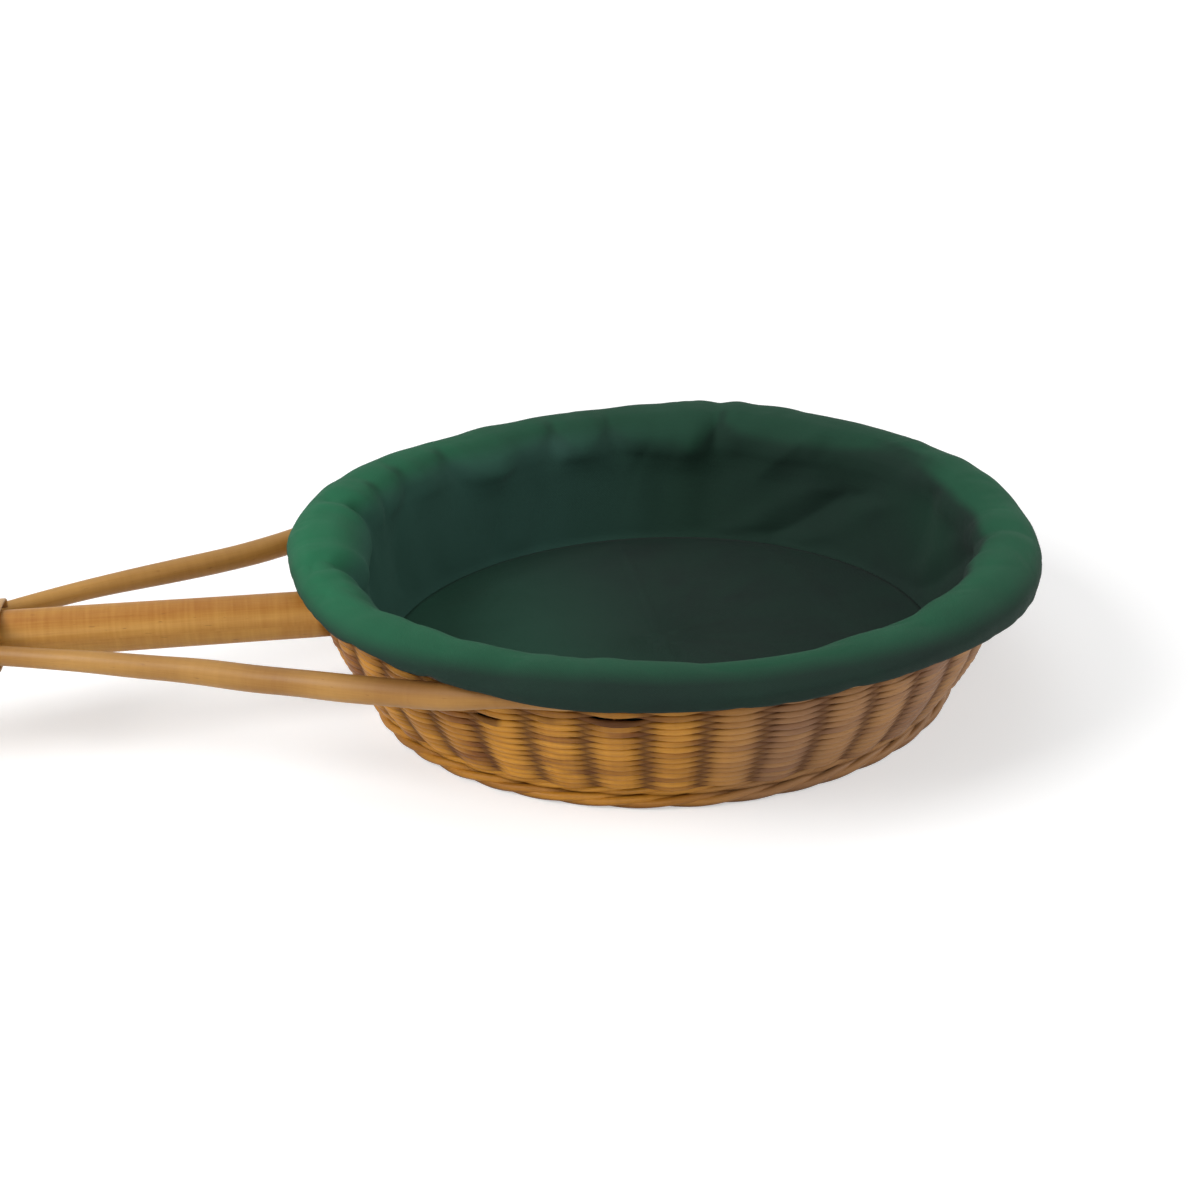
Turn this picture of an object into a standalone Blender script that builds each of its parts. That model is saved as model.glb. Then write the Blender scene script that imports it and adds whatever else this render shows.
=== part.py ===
"""Oval collection basket of woven rattan, with a long pole handle held by two
side rods, and a cloth liner that lifts out.

The origin is the middle of the basket's underside. +Z is up, the basket's long
axis lies along X and the handle points along -X. Lengths are in metres.
"""

import math

import bmesh
import bpy
import numpy as np
from mathutils import Vector

# Gap that two touching pieces keep
CLEARANCE = 0.0004

# Wall: an oval bowl, measured outside at its top edge
WALL_LENGTH = 0.310
WALL_WIDTH = 0.278
WALL_SPREAD = 0.0217
WALL_FULLNESS = 0.92
WALL_THICKNESS = 0.005
WALL_TOP = 0.0662

# Base and foot
BASE_THICKNESS = 0.004
FOOT_WIDTH = 0.007
FOOT_HEIGHT = 0.0064
# Foot section as shares of its width from the middle and of its height
FOOT_SECTION = ((-0.2, 0.0), (0.2, 0.0), (0.5, 0.35), (0.38, 0.8), (0.0, 1.0), (-0.5, 0.6))
STICK_DIAMETER = 0.004
STICK_SPACING_LONG = 0.034
STICK_SPACING_SHORT = 0.040
LONG_STICKS = 3
SHORT_STICKS = 5
STICK_END_GAP = 0.004

# Stakes inside the wall, and the ribs outside where its strands pass over the uprights
STAKE_COUNT = 20
STAKE_TURN = math.radians(-0.9)
RIBS_PER_STAKE = 2
RIB_DEPTH = 0.0017
RIB_TOP_WIDTH = math.radians(3.2)
STAKE_DIAMETER = 0.003
STAKE_GAP = 0.0008

# Border and hoops at the rim
BORDER_WIDTH = 0.0112
BORDER_HEIGHT = 0.008
BORDER_INSET = 0.003
ROD_DIAMETER = 0.0112
HOOP_DIAMETER = 0.008
ROD_LEVEL = 0.0655
INNER_HOOP_DIAMETER = 0.008
INNER_HOOP_LEVEL = 0.0628

# Handle pole
POLE_DIAMETER = 0.0206
POLE_REACH = 0.765
POLE_LEVEL = 0.045
POLE_TILT = math.radians(1.89)
FIRST_NODE_REACH = 0.395
SECOND_NODE_REACH = 0.600
POLE_NODE_RISE = 0.0005
POLE_NODE_WIDTH = 0.005
POLE_END_ROUNDING = 0.006

# Side rods: the pared tails lie along the pole, then spread to the rim, where they are pared again
TAIL_DIAMETER = 0.0082
TAIL_END = 0.344
FORK_START = 0.2973
ROD_MEETS_RIM = math.radians(135.0)
ROD_AT_LEVEL = math.radians(104.7)
ROD_PARED_AT = math.radians(120.0)
ROD_DROP_AT_RIM = 0.0089
FORK_PULL = 0.0898
FORK_TURN = math.radians(22.78)
FORK_RISE = math.radians(3.32)
RIM_PULL = 0.0707
FULL_ROD_SHARE = 0.62
FORK_STEPS = 14
RIM_TANGENT_STEP = math.radians(1.2)

# Cane binding of the fork
BINDING_START = 0.2815
BINDING_STEPS = 24
BINDING_FROM = math.radians(60.0)
BINDING_TO = math.radians(45.0 + 9 * 360.0)
CANE_WIDTH = 0.0042
CANE_THICKNESS = 0.0012
CANE_PITCH = 0.0051
CANE_SLACK_SIDE = 0.0008
CANE_SLACK_TOP = 0.00045
CANE_TUCK = 0.0024
CANE_BEND = 0.0014
CANE_BEND_STEPS = 4

# Nails
NAIL_DIAMETER = 0.0014
NAIL_HEAD_DIAMETER = 0.0032
NAIL_HEAD_THICKNESS = 0.0008
NAIL_SINK = 0.0006
NAIL_TIP_SHARE = 0.4
RIM_NAIL_LENGTH = 0.020
RIM_NAIL_LEVEL = 0.0642
RIM_NAIL_ANGLES = (25.0, 62.0, 100.0)
POLE_NAIL_LENGTH = 0.024
POLE_NAIL_SPACING = 0.009

# Liner
CLOTH_THICKNESS = 0.0018
CUFF_GAP = 0.0009
CUFF_SLACK = 0.0009
CUFF_SWAY = 0.0018
CUFF_EDGE = 0.0675
CUFF_RISE = 0.0005
CUFF_SHOULDER = 0.0055
CUFF_OUTER_CROWN = 0.0014
CUFF_OUTER_CROWN_SHARE = 0.62
CUFF_INNER_CROWN = 0.0028
CUFF_INNER_CROWN_REACH = 0.0035
CUFF_INNER_DROP = 0.0115
SKIRT_SLACK_AT_HOOP = 0.0012
SKIRT_SLACK_AT_STAKES = 0.0016
SKIRT_HEIGHTS = (0.55, 0.22)
# How much of the folds shows from the hem over the crown and down to the floor
FOLD_SHARES = (0.0, 0.0, 0.05, 0.12, 0.45, 0.9, 1.0, 0.7, 0.0)
# How much of the cuff's sway towards the basket's far end shows at the same places
SWAY_SHARES = (1.0, 1.0, 0.5, 0.0, 0.0, 0.0, 0.0, 0.0, 0.0)
LINER_FLOOR_GAP = 0.0004
ELASTIC_DIAMETER = 0.0024
GATHER_ANGLES = (172, 158, 146, 127, 118, 102, 91, 67, 46, 20, -9, -44, -61, -81, -125, -154)
FOLD_DEPTH = 0.0055
GATHER_WIDTH = math.radians(5.5)

# Facets
RING_STEPS = 60
LINER_STEPS = 68
WALL_LEVELS = 7
WALL_LEVEL_GROWTH = 1.25
STAKE_LEVELS = 5
STAKE_SIDES = 6
SMALL_SIDES = 8
POLE_SIDES = 20
POLE_END_STEPS = 5
POLE_END_TURN = math.radians(80.0)
ELASTIC_SIDES = 5
SHARP_EDGE = math.radians(40.0)

RATTAN = ("rattan_pole", (0.43, 0.22, 0.05), 0.50)
ROD_RATTAN = ("rattan_rod", (0.48, 0.27, 0.08), 0.48)
WICKER = ("wicker", (0.38, 0.19, 0.045), 0.55)
CANE = ("cane", (0.47, 0.27, 0.08), 0.42)
STEEL = ("nail_steel", (0.35, 0.34, 0.33), 0.35)
GREEN_CLOTH = ("green_cloth", (0.020, 0.100, 0.055), 0.85)
ELASTIC = ("elastic", (0.015, 0.070, 0.040), 0.80)


def surface(finish):
    """The finish's material, made once."""
    name, colour, roughness = finish
    found = bpy.data.materials.get(name)
    if found:
        return found
    made = bpy.data.materials.new(name)
    made.use_nodes = True
    shader = made.node_tree.nodes["Principled BSDF"]
    shader.inputs["Base Color"].default_value = (*colour, 1.0)
    shader.inputs["Roughness"].default_value = roughness
    shader.inputs["Metallic"].default_value = 1.0 if finish is STEEL else 0.0
    return made


def add_object(name, mesh, finish):
    piece = bpy.data.objects.new(name, mesh)
    bpy.context.scene.collection.objects.link(piece)
    if finish and not mesh.materials:
        mesh.materials.append(surface(finish))
    return piece


def loft_mesh(name, rings, closed=False):
    """Joins rings of points in order. A closed loft meets itself, an open one has end caps."""
    shape = bmesh.new()
    rows = [[shape.verts.new(point) for point in ring] for ring in rings]
    count = len(rows[0])
    pairs = list(zip(rows, rows[1:]))
    if closed:
        pairs.append((rows[-1], rows[0]))
    else:
        shape.faces.new(rows[0])
        shape.faces.new(rows[-1])
    for first, second in pairs:
        for i in range(count):
            j = (i + 1) % count
            shape.faces.new((first[i], first[j], second[j], second[i]))
    bmesh.ops.recalc_face_normals(shape, faces=shape.faces)
    mesh = bpy.data.meshes.new(name)
    shape.to_mesh(mesh)
    shape.free()
    mesh.shade_smooth()
    mesh.set_sharp_from_angle(angle=SHARP_EDGE)
    return mesh


def loft(name, rings, finish, closed=False):
    return add_object(name, loft_mesh(name, rings, closed), finish)


def oval_point(offset, height, angle):
    """A point on the oval that lies this far outside the wall's top edge."""
    across = (WALL_LENGTH / 2 + offset) * math.cos(angle)
    along = (WALL_WIDTH / 2 + offset) * math.sin(angle)
    return Vector((across, along, height))


def oval_normal(angle):
    """The level direction that points straight out of the oval."""
    out = Vector((math.cos(angle) / WALL_LENGTH, math.sin(angle) / WALL_WIDTH, 0.0))
    return out.normalized()


def ring_angles(steps=RING_STEPS):
    return [2 * math.pi * i / steps for i in range(steps)]


def oval_ring(name, section, finish):
    """Carries a closed section of (offset, height) points once round the oval."""
    rings = [[oval_point(o, z, angle) for o, z in section] for angle in ring_angles()]
    return loft(name, rings, finish, closed=True)


def oval_plate(name, offset, bottom, top, finish):
    rings = [[oval_point(offset, z, angle) for angle in ring_angles()] for z in (bottom, top)]
    return loft(name, rings, finish)


def round_section(offset, height, width, depth, sides, turn=0.0):
    angles = [turn + 2 * math.pi * i / sides for i in range(sides)]
    return [(offset + width / 2 * math.cos(a), height + depth / 2 * math.sin(a)) for a in angles]


def wall_offset(height):
    """How far the wall's outside lies from its top edge: the bowl is fullest low down."""
    share = (height - FOOT_HEIGHT - CLEARANCE) / (WALL_TOP - FOOT_HEIGHT - CLEARANCE)
    share = min(max(share, 0.0), 1.0)
    return WALL_SPREAD * (share + WALL_FULLNESS * share * (1 - share) - 1)


def wall_heights(bottom=FOOT_HEIGHT + CLEARANCE, top=WALL_TOP, levels=WALL_LEVELS):
    shares = [(i / levels) ** WALL_LEVEL_GROWTH for i in range(levels + 1)]
    return [bottom + (top - bottom) * share for share in shares]


def turned_mesh(name, stations, sides):
    """A solid turned about X from (distance, radius) stations."""
    rings = []
    for distance, radius in stations:
        angles = [2 * math.pi * i / sides for i in range(sides)]
        ring = [(distance, radius * math.cos(a), radius * math.sin(a)) for a in angles]
        rings.append([Vector(point) for point in ring])
    return loft_mesh(name, rings)


def point_along(piece, start, direction):
    """Puts the piece's own X axis at start, pointing along direction."""
    piece.location = start
    piece.rotation_mode = "QUATERNION"
    piece.rotation_quaternion = direction.to_track_quat("X", "Z")


def as_cutter(piece):
    piece.hide_render = True
    piece.display_type = "WIRE"
    return piece


def cut(piece, cutter):
    trim = piece.modifiers.new(cutter.name, "BOOLEAN")
    trim.operation = "DIFFERENCE"
    trim.solver = "EXACT"
    trim.object = cutter


def sweep_round(name, path, finish, sides=SMALL_SIDES):
    """A round rod along (point, radius) pairs that never run straight up."""
    points = [point for point, _ in path]
    rings = []
    for i, (point, radius) in enumerate(path):
        ahead = points[min(i + 1, len(points) - 1)]
        behind = points[max(i - 1, 0)]
        along = (ahead - behind).normalized()
        side = Vector((0.0, 0.0, 1.0)).cross(along).normalized()
        up = along.cross(side)
        angles = [2 * math.pi * (k + 0.5) / sides for k in range(sides)]
        rings.append([point + radius * (math.cos(a) * side + math.sin(a) * up) for a in angles])
    return loft(name, rings, finish)


def build_base():
    """The woven floor, with the sticks that it is woven on lying along and across it."""
    disc_offset = -WALL_SPREAD - WALL_THICKNESS - CLEARANCE
    oval_plate("base_weave", disc_offset, 0.0, BASE_THICKNESS, WICKER)
    reach = disc_offset - STAKE_DIAMETER - STICK_END_GAP
    half_x = WALL_LENGTH / 2 + reach
    half_y = WALL_WIDTH / 2 + reach
    low = BASE_THICKNESS + CLEARANCE + STICK_DIAMETER / 2
    high = low + STICK_DIAMETER + CLEARANCE
    sets = (
        ("base_stick_long", LONG_STICKS, STICK_SPACING_LONG, half_x, half_y, low, Vector((1, 0, 0))),
        ("base_stick_short", SHORT_STICKS, STICK_SPACING_SHORT, half_y, half_x, high, Vector((0, 1, 0))),
    )
    for name, count, spacing, along, across, level, direction in sets:
        sideways = Vector((0, 0, 1)).cross(direction)
        for i in range(count):
            shift = (i - (count - 1) / 2) * spacing
            half = along * math.sqrt(1 - (shift / across) ** 2)
            stations = [(-half, STICK_DIAMETER / 2), (half, STICK_DIAMETER / 2)]
            label = f"{name}_{i + 1}"
            stick = add_object(label, turned_mesh(label, stations, SMALL_SIDES), ROD_RATTAN)
            point_along(stick, sideways * shift + Vector((0, 0, level)), direction)
    return high + STICK_DIAMETER / 2


def build_foot():
    """The plaited foot round the base, flat underneath."""
    middle = -WALL_SPREAD - WALL_THICKNESS + FOOT_WIDTH / 2
    section = [(middle + w * FOOT_WIDTH, h * FOOT_HEIGHT) for w, h in FOOT_SECTION]
    return oval_ring("foot_border", section, WICKER)


def build_wall():
    """The woven wall, ribbed outside between its bottom and top edges."""
    heights = wall_heights()
    count = STAKE_COUNT * RIBS_PER_STAKE
    pitch = 2 * math.pi / count
    half = RIB_TOP_WIDTH / 2
    rings = []
    for i in range(count):
        for angle, depth in ((-half, 0.0), (half, 0.0), (pitch / 2, RIB_DEPTH)):
            dips = [0.0, *[depth] * (len(heights) - 2), 0.0]
            outside = [(wall_offset(z) - dip, z) for z, dip in zip(heights, dips)]
            inside = [(wall_offset(z) - WALL_THICKNESS, z) for z in reversed(heights)]
            at = STAKE_TURN + pitch * i + angle
            rings.append([oval_point(o, z, at) for o, z in outside + inside])
    return loft("wall_weave", rings, WICKER, closed=True)


def build_stakes(top):
    """Uprights that follow the wall's inner face from the base to below the inner hoop."""
    bottom = BASE_THICKNESS + CLEARANCE
    centre = -WALL_THICKNESS - STAKE_GAP - STAKE_DIAMETER / 2
    heights = [bottom, *wall_heights(top=top, levels=STAKE_LEVELS)]
    for i in range(STAKE_COUNT):
        angle = STAKE_TURN + 2 * math.pi * (i + 0.5) / STAKE_COUNT
        out = oval_normal(angle)
        side = Vector((-out.y, out.x, 0.0))
        rings = []
        for z in heights:
            middle = oval_point(wall_offset(z) + centre, z, angle)
            turns = [2 * math.pi * k / STAKE_SIDES for k in range(STAKE_SIDES)]
            radius = STAKE_DIAMETER / 2
            ring = [middle + radius * (math.cos(t) * out + math.sin(t) * side) for t in turns]
            rings.append(ring)
        loft(f"wall_stake_{i + 1:02d}", rings, ROD_RATTAN)


def build_border():
    """The plaited border that closes the wall's top edge."""
    level = WALL_TOP + CLEARANCE + BORDER_HEIGHT / 2
    section = round_section(-BORDER_INSET, level, BORDER_WIDTH, BORDER_HEIGHT, SMALL_SIDES)
    oval_ring("rim_border", section, WICKER)
    return level + BORDER_HEIGHT / 2


def inner_hoop_offset():
    """The inner hoop's middle, clear of the wall all the way down its own depth."""
    narrowest = wall_offset(INNER_HOOP_LEVEL - INNER_HOOP_DIAMETER / 2)
    return narrowest - WALL_THICKNESS - CLEARANCE - INNER_HOOP_DIAMETER / 2


def build_inner_hoop():
    wide = INNER_HOOP_DIAMETER
    section = round_section(inner_hoop_offset(), INNER_HOOP_LEVEL, wide, wide, SMALL_SIDES)
    return oval_ring("inner_hoop", section, ROD_RATTAN)


def wall_cutter():
    """The wall's outside grown by the clearance, to trim what butts against it."""
    heights = [0.0, *wall_heights(), WALL_TOP + BORDER_HEIGHT]
    rings = []
    for z in heights:
        ring = [oval_point(wall_offset(z) + CLEARANCE, z, angle) for angle in ring_angles()]
        rings.append(ring)
    return as_cutter(loft("wall_cutter", rings, None))


def on_pole(distance):
    """The point on the pole's middle line this far from the basket's middle: it climbs a little."""
    climb = math.tan(POLE_TILT) * (distance - WALL_LENGTH / 2)
    return Vector((-distance, 0.0, POLE_LEVEL + climb))


def build_pole():
    """The handle: a straight pole with two swollen nodes and a rounded butt."""
    radius = POLE_DIAMETER / 2
    start = WALL_LENGTH / 2 - WALL_THICKNESS - WALL_SPREAD
    stations = [(start, radius)]
    for node in (FIRST_NODE_REACH, SECOND_NODE_REACH):
        stations.append((node - POLE_NODE_WIDTH, radius))
        stations.append((node, radius + POLE_NODE_RISE))
        stations.append((node + POLE_NODE_WIDTH, radius))
    for step in range(POLE_END_STEPS):
        turn = POLE_END_TURN * step / (POLE_END_STEPS - 1)
        reach = POLE_REACH - POLE_END_ROUNDING * (1 - math.sin(turn))
        stations.append((reach, radius - POLE_END_ROUNDING * (1 - math.cos(turn))))
    pole = add_object("pole", turned_mesh("pole", stations, POLE_SIDES), RATTAN)
    point_along(pole, on_pole(0.0), Vector((-1, 0, math.tan(POLE_TILT))))
    cut(pole, wall_cutter())
    return pole


def eased(share):
    return share * share * (3 - 2 * share)


def rod_radius(angle):
    """The rod's radius where it follows the rim."""
    share = min(max((angle - ROD_PARED_AT) / (ROD_MEETS_RIM - ROD_PARED_AT), 0.0), 1.0)
    return (HOOP_DIAMETER + (ROD_DIAMETER - HOOP_DIAMETER) * eased(share)) / 2


def rod_on_rim(angle):
    """The rod's middle where it follows the rim: it dips where it leaves for the fork."""
    share = max(0.0, (angle - ROD_AT_LEVEL) / (ROD_MEETS_RIM - ROD_AT_LEVEL))
    level = ROD_LEVEL - ROD_DROP_AT_RIM * share**2
    return oval_point(CLEARANCE + rod_radius(angle), level, angle)


def tail_shift():
    return POLE_DIAMETER / 2 + CLEARANCE + TAIL_DIAMETER / 2


def rod_path():
    """(point, radius) along the far rod, from its tail on the pole to the basket's far end."""
    beside = Vector((0.0, tail_shift(), 0.0))
    tail = on_pole(TAIL_END) + beside
    fork = on_pole(FORK_START) + beside
    rim = rod_on_rim(ROD_MEETS_RIM)
    ahead = (rod_on_rim(ROD_MEETS_RIM - RIM_TANGENT_STEP) - rim).normalized()
    away = Vector((1.0, math.tan(FORK_TURN), math.tan(FORK_RISE))).normalized()
    first = fork + FORK_PULL * away
    second = rim - RIM_PULL * ahead
    thin = TAIL_DIAMETER / 2
    thick = ROD_DIAMETER / 2
    path = [(tail, thin)]
    for i in range(FORK_STEPS):
        t = i / FORK_STEPS
        weights = ((1 - t) ** 3, 3 * (1 - t) ** 2 * t, 3 * (1 - t) * t**2, t**3)
        point = weights[0] * fork + weights[1] * first + weights[2] * second + weights[3] * rim
        path.append((point, thin + (thick - thin) * eased(min(t / FULL_ROD_SHARE, 1.0))))
    last = math.asin(CLEARANCE / (WALL_WIDTH / 2 + CLEARANCE + rod_radius(0.0)))
    steps = math.ceil(RING_STEPS * (ROD_MEETS_RIM - last) / (2 * math.pi))
    for i in range(steps + 1):
        angle = ROD_MEETS_RIM + (last - ROD_MEETS_RIM) * i / steps
        path.append((rod_on_rim(angle), rod_radius(angle)))
    return path


def build_rods():
    far = rod_path()
    near = [(Vector((point.x, -point.y, point.z)), radius) for point, radius in far]
    return [sweep_round("far_rod", far, ROD_RATTAN), sweep_round("near_rod", near, ROD_RATTAN)]


def bundle_half_width(rod, x):
    """How far from the pole's middle the rods' outer sides lie at x, where the cane winds."""
    along = [point.x for point, _ in rod]
    reach = [point.y + radius for point, radius in rod]
    return float(np.interp(x, along, reach))


def binding_path():
    """The cane's middle line: turns round the pole and both tails, each end tucked inwards."""
    rod = rod_path()
    half_height = POLE_DIAMETER / 2 + CANE_SLACK_TOP + CANE_THICKNESS / 2
    loops = []
    steps = round(BINDING_STEPS * (BINDING_TO - BINDING_FROM) / (2 * math.pi))
    for i in range(steps + 1):
        turns = i / BINDING_STEPS
        t = BINDING_FROM + 2 * math.pi * turns
        middle = on_pole(BINDING_START + CANE_WIDTH / 2 + CANE_PITCH * turns)
        bundle = bundle_half_width(rod, middle.x + CANE_WIDTH / 2)
        half_width = bundle + CANE_SLACK_SIDE + CANE_THICKNESS / 2
        loops.append(middle + Vector((0.0, half_width * math.cos(t), half_height * math.sin(t))))

    def tuck(end, travel):
        flat = Vector((0.0, travel.y, travel.z)).normalized()
        centre = on_pole(-end.x)
        inward = Vector((0.0, -flat.z, flat.y))
        if inward.dot(centre - end) < 0:
            inward = -inward
        bend = []
        for step in range(1, CANE_BEND_STEPS + 1):
            a = math.pi / 2 * step / CANE_BEND_STEPS
            bend.append(end + CANE_BEND * (math.sin(a) * flat + (1 - math.cos(a)) * inward))
        bend.append(bend[-1] + CANE_TUCK * inward)
        return bend

    head = tuck(loops[0], loops[0] - loops[1])
    tail = tuck(loops[-1], loops[-1] - loops[-2])
    return head[::-1] + loops + tail


def build_binding():
    """Flat cane wound round the fork's root, as one unbroken strip."""
    path = binding_path()
    half_w = CANE_WIDTH / 2
    half_t = CANE_THICKNESS / 2
    round_w = half_w - half_t
    outline = (
        (half_w, 0.0), (round_w, half_t), (-round_w, half_t),
        (-half_w, 0.0), (-round_w, -half_t), (round_w, -half_t),
    )
    across = Vector((1.0, 0.0, 0.0))
    rings = []
    for i, point in enumerate(path):
        along = path[min(i + 1, len(path) - 1)] - path[max(i - 1, 0)]
        along.x = 0.0
        out = along.normalized().cross(across)
        rings.append([point + w * across + t * out for w, t in outline])
    report_gap("fork_binding", rings, BINDING_STEPS // 2)
    return loft("fork_binding", rings, CANE)


def report_gap(name, rings, half_turn):
    """Prints the least distance between points of the strip that are half a turn or more apart."""
    points = np.array([[tuple(point) for point in ring] for ring in rings])
    least = 1.0
    for i in range(len(points) - half_turn):
        later = points[i + half_turn:].reshape(-1, 3)
        gaps = np.linalg.norm(points[i][:, None, :] - later[None, :, :], axis=2)
        least = min(least, float(gaps.min()))
    print(f"{name}: least gap to itself {least * 1000:.2f} mm")


def nail_stations(length, grow, lead):
    """Head, shank and tip. grow and lead are zero for the nail and open up its hole."""
    head = NAIL_HEAD_DIAMETER / 2 + grow
    shank = NAIL_DIAMETER / 2 + grow
    return [
        (-lead, head),
        (NAIL_HEAD_THICKNESS + grow, head),
        (NAIL_HEAD_THICKNESS + grow, shank),
        (length - NAIL_DIAMETER + grow, shank),
        (length + grow, shank * NAIL_TIP_SHARE),
    ]


def build_nails(rods, wall, hoop, pole):
    """Nails through rod, wall and inner hoop, and two from the wall into the pole's end."""
    lead = 2 * NAIL_HEAD_DIAMETER
    rim_nail = turned_mesh("rim_nail", nail_stations(RIM_NAIL_LENGTH, 0.0, 0.0), SMALL_SIDES)
    rim_hole = turned_mesh("rim_hole", nail_stations(RIM_NAIL_LENGTH, CLEARANCE, lead), SMALL_SIDES)
    far_rod, near_rod = rods
    number = 0
    for rod, side in ((far_rod, 1), (near_rod, -1)):
        for degrees in RIM_NAIL_ANGLES:
            number += 1
            angle = side * math.radians(degrees)
            out = oval_normal(angle)
            face = CLEARANCE + HOOP_DIAMETER
            start = oval_point(face, RIM_NAIL_LEVEL, angle) - out * NAIL_SINK
            nail = add_object(f"rim_nail_{number}", rim_nail, STEEL)
            point_along(nail, start, -out)
            hole = as_cutter(add_object(f"rim_nail_hole_{number}", rim_hole, None))
            point_along(hole, start, -out)
            for piece in (rod, wall, hoop):
                cut(piece, hole)
    pole_nail = turned_mesh("pole_nail", nail_stations(POLE_NAIL_LENGTH, 0.0, 0.0), SMALL_SIDES)
    pole_hole = turned_mesh("pole_hole", nail_stations(POLE_NAIL_LENGTH, CLEARANCE, lead), SMALL_SIDES)
    face = WALL_LENGTH / 2 + wall_offset(POLE_LEVEL) - WALL_THICKNESS + NAIL_SINK
    for i, side in enumerate((1, -1)):
        start = Vector((-face, side * POLE_NAIL_SPACING / 2, POLE_LEVEL))
        nail = add_object(f"pole_nail_{i + 1}", pole_nail, STEEL)
        point_along(nail, start, Vector((-1, 0, 0)))
        hole = as_cutter(add_object(f"pole_nail_hole_{i + 1}", pole_hole, None))
        point_along(hole, start, Vector((-1, 0, 0)))
        for piece in (wall, pole):
            cut(piece, hole)


def fold(angle):
    """How far the cloth puffs inwards at this angle: nothing at a gather, most between two."""
    drawn = 0.0
    for degrees in GATHER_ANGLES:
        away = math.remainder(angle - math.radians(degrees), 2 * math.pi)
        drawn += math.exp(-((away / GATHER_WIDTH) ** 2))
    return FOLD_DEPTH * (1.0 - min(drawn, 1.0))


def cuff_offset():
    """The middle of the cuff's outer leg, clear of the hoop that the rods make."""
    return CLEARANCE + HOOP_DIAMETER + CUFF_GAP + CUFF_SLACK + CLOTH_THICKNESS / 2


def sway(angle):
    return CUFF_SWAY * math.cos(angle)


def liner_line(floor, crest):
    """(offset, height, shares of fold and sway) down the cloth's middle, from hem to floor."""
    half = CLOTH_THICKNESS / 2
    cuff = cuff_offset()
    hoop = inner_hoop_offset() - INNER_HOOP_DIAMETER / 2
    inside = hoop - CUFF_GAP - half
    top = crest + CUFF_RISE + half
    low = floor + CLOTH_THICKNESS

    def hung(height):
        stakes = wall_offset(height) - WALL_THICKNESS - STAKE_GAP - STAKE_DIAMETER
        return min(inside - SKIRT_SLACK_AT_HOOP, stakes - SKIRT_SLACK_AT_STAKES - half)

    line = [
        (cuff, CUFF_EDGE),
        (cuff, top - CUFF_SHOULDER),
        (cuff * CUFF_OUTER_CROWN_SHARE, top - CUFF_OUTER_CROWN),
        (-BORDER_INSET, top),
        (inside + CUFF_INNER_CROWN_REACH, top - CUFF_INNER_CROWN),
        (inside, top - CUFF_INNER_DROP),
    ]
    for share in (*SKIRT_HEIGHTS, 0.0):
        height = low + (top - low) * share
        line.append((hung(height), height))
    return [(*point, *shares) for point, *shares in zip(line, FOLD_SHARES, SWAY_SHARES)]


def build_liner(stick_top, crest):
    """The liner: a gathered skirt whose cuff turns over the rim, its floor and its elastic."""
    floor = stick_top + LINER_FLOOR_GAP
    line = liner_line(floor, crest)
    half = CLOTH_THICKNESS / 2
    rings = []
    for angle in ring_angles(LINER_STEPS):
        depth = fold(angle)
        lean = sway(angle)
        middle = [Vector((o - depth * inward + lean * out, z)) for o, z, inward, out in line]
        outer, inner = [], []
        for i, point in enumerate(middle):
            along = middle[min(i + 1, len(middle) - 1)] - middle[max(i - 1, 0)]
            along.normalize()
            across = Vector((along.y, -along.x)) * half
            outer.append(point + across)
            inner.append(point - across)
        section = outer + inner[::-1]
        rings.append([oval_point(o, z, angle) for o, z in section])
    skirt = loft("liner_skirt", rings, GREEN_CLOTH, closed=True)
    panel = oval_plate(
        "liner_floor", line[-1][0] - half - CLEARANCE, floor, floor + CLOTH_THICKNESS, GREEN_CLOTH
    )
    level = CUFF_EDGE - CLEARANCE - ELASTIC_DIAMETER / 2
    wide = ELASTIC_DIAMETER
    elastic = round_section(line[0][0], level, wide, wide, ELASTIC_SIDES, math.pi / 2)
    hems = [[oval_point(o + sway(a), z, a) for o, z in elastic] for a in ring_angles()]
    band = loft("liner_elastic", hems, ELASTIC, closed=True)
    lift = bpy.data.objects.new("liner_lift", None)
    bpy.context.scene.collection.objects.link(lift)
    for piece in (skirt, panel, band):
        piece.parent = lift


def main():
    for old in list(bpy.data.objects):
        bpy.data.objects.remove(old, do_unlink=True)
    stick_top = build_base()
    build_foot()
    wall = build_wall()
    build_stakes(INNER_HOOP_LEVEL - INNER_HOOP_DIAMETER / 2 - CLEARANCE)
    crest = build_border()
    hoop = build_inner_hoop()
    pole = build_pole()
    rods = build_rods()
    build_binding()
    build_nails(rods, wall, hoop, pole)
    build_liner(stick_top, crest)


main()
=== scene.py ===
# Long-handled collection basket: woven rattan, a pole held by two side rods, a green cloth liner.
# Lengths are in metres. The basket stands on z = 0 with its long axis along X, and the handle
# points to -X.

import math

import bmesh
import bpy
import numpy as np
from mathutils import Matrix, Vector


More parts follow.
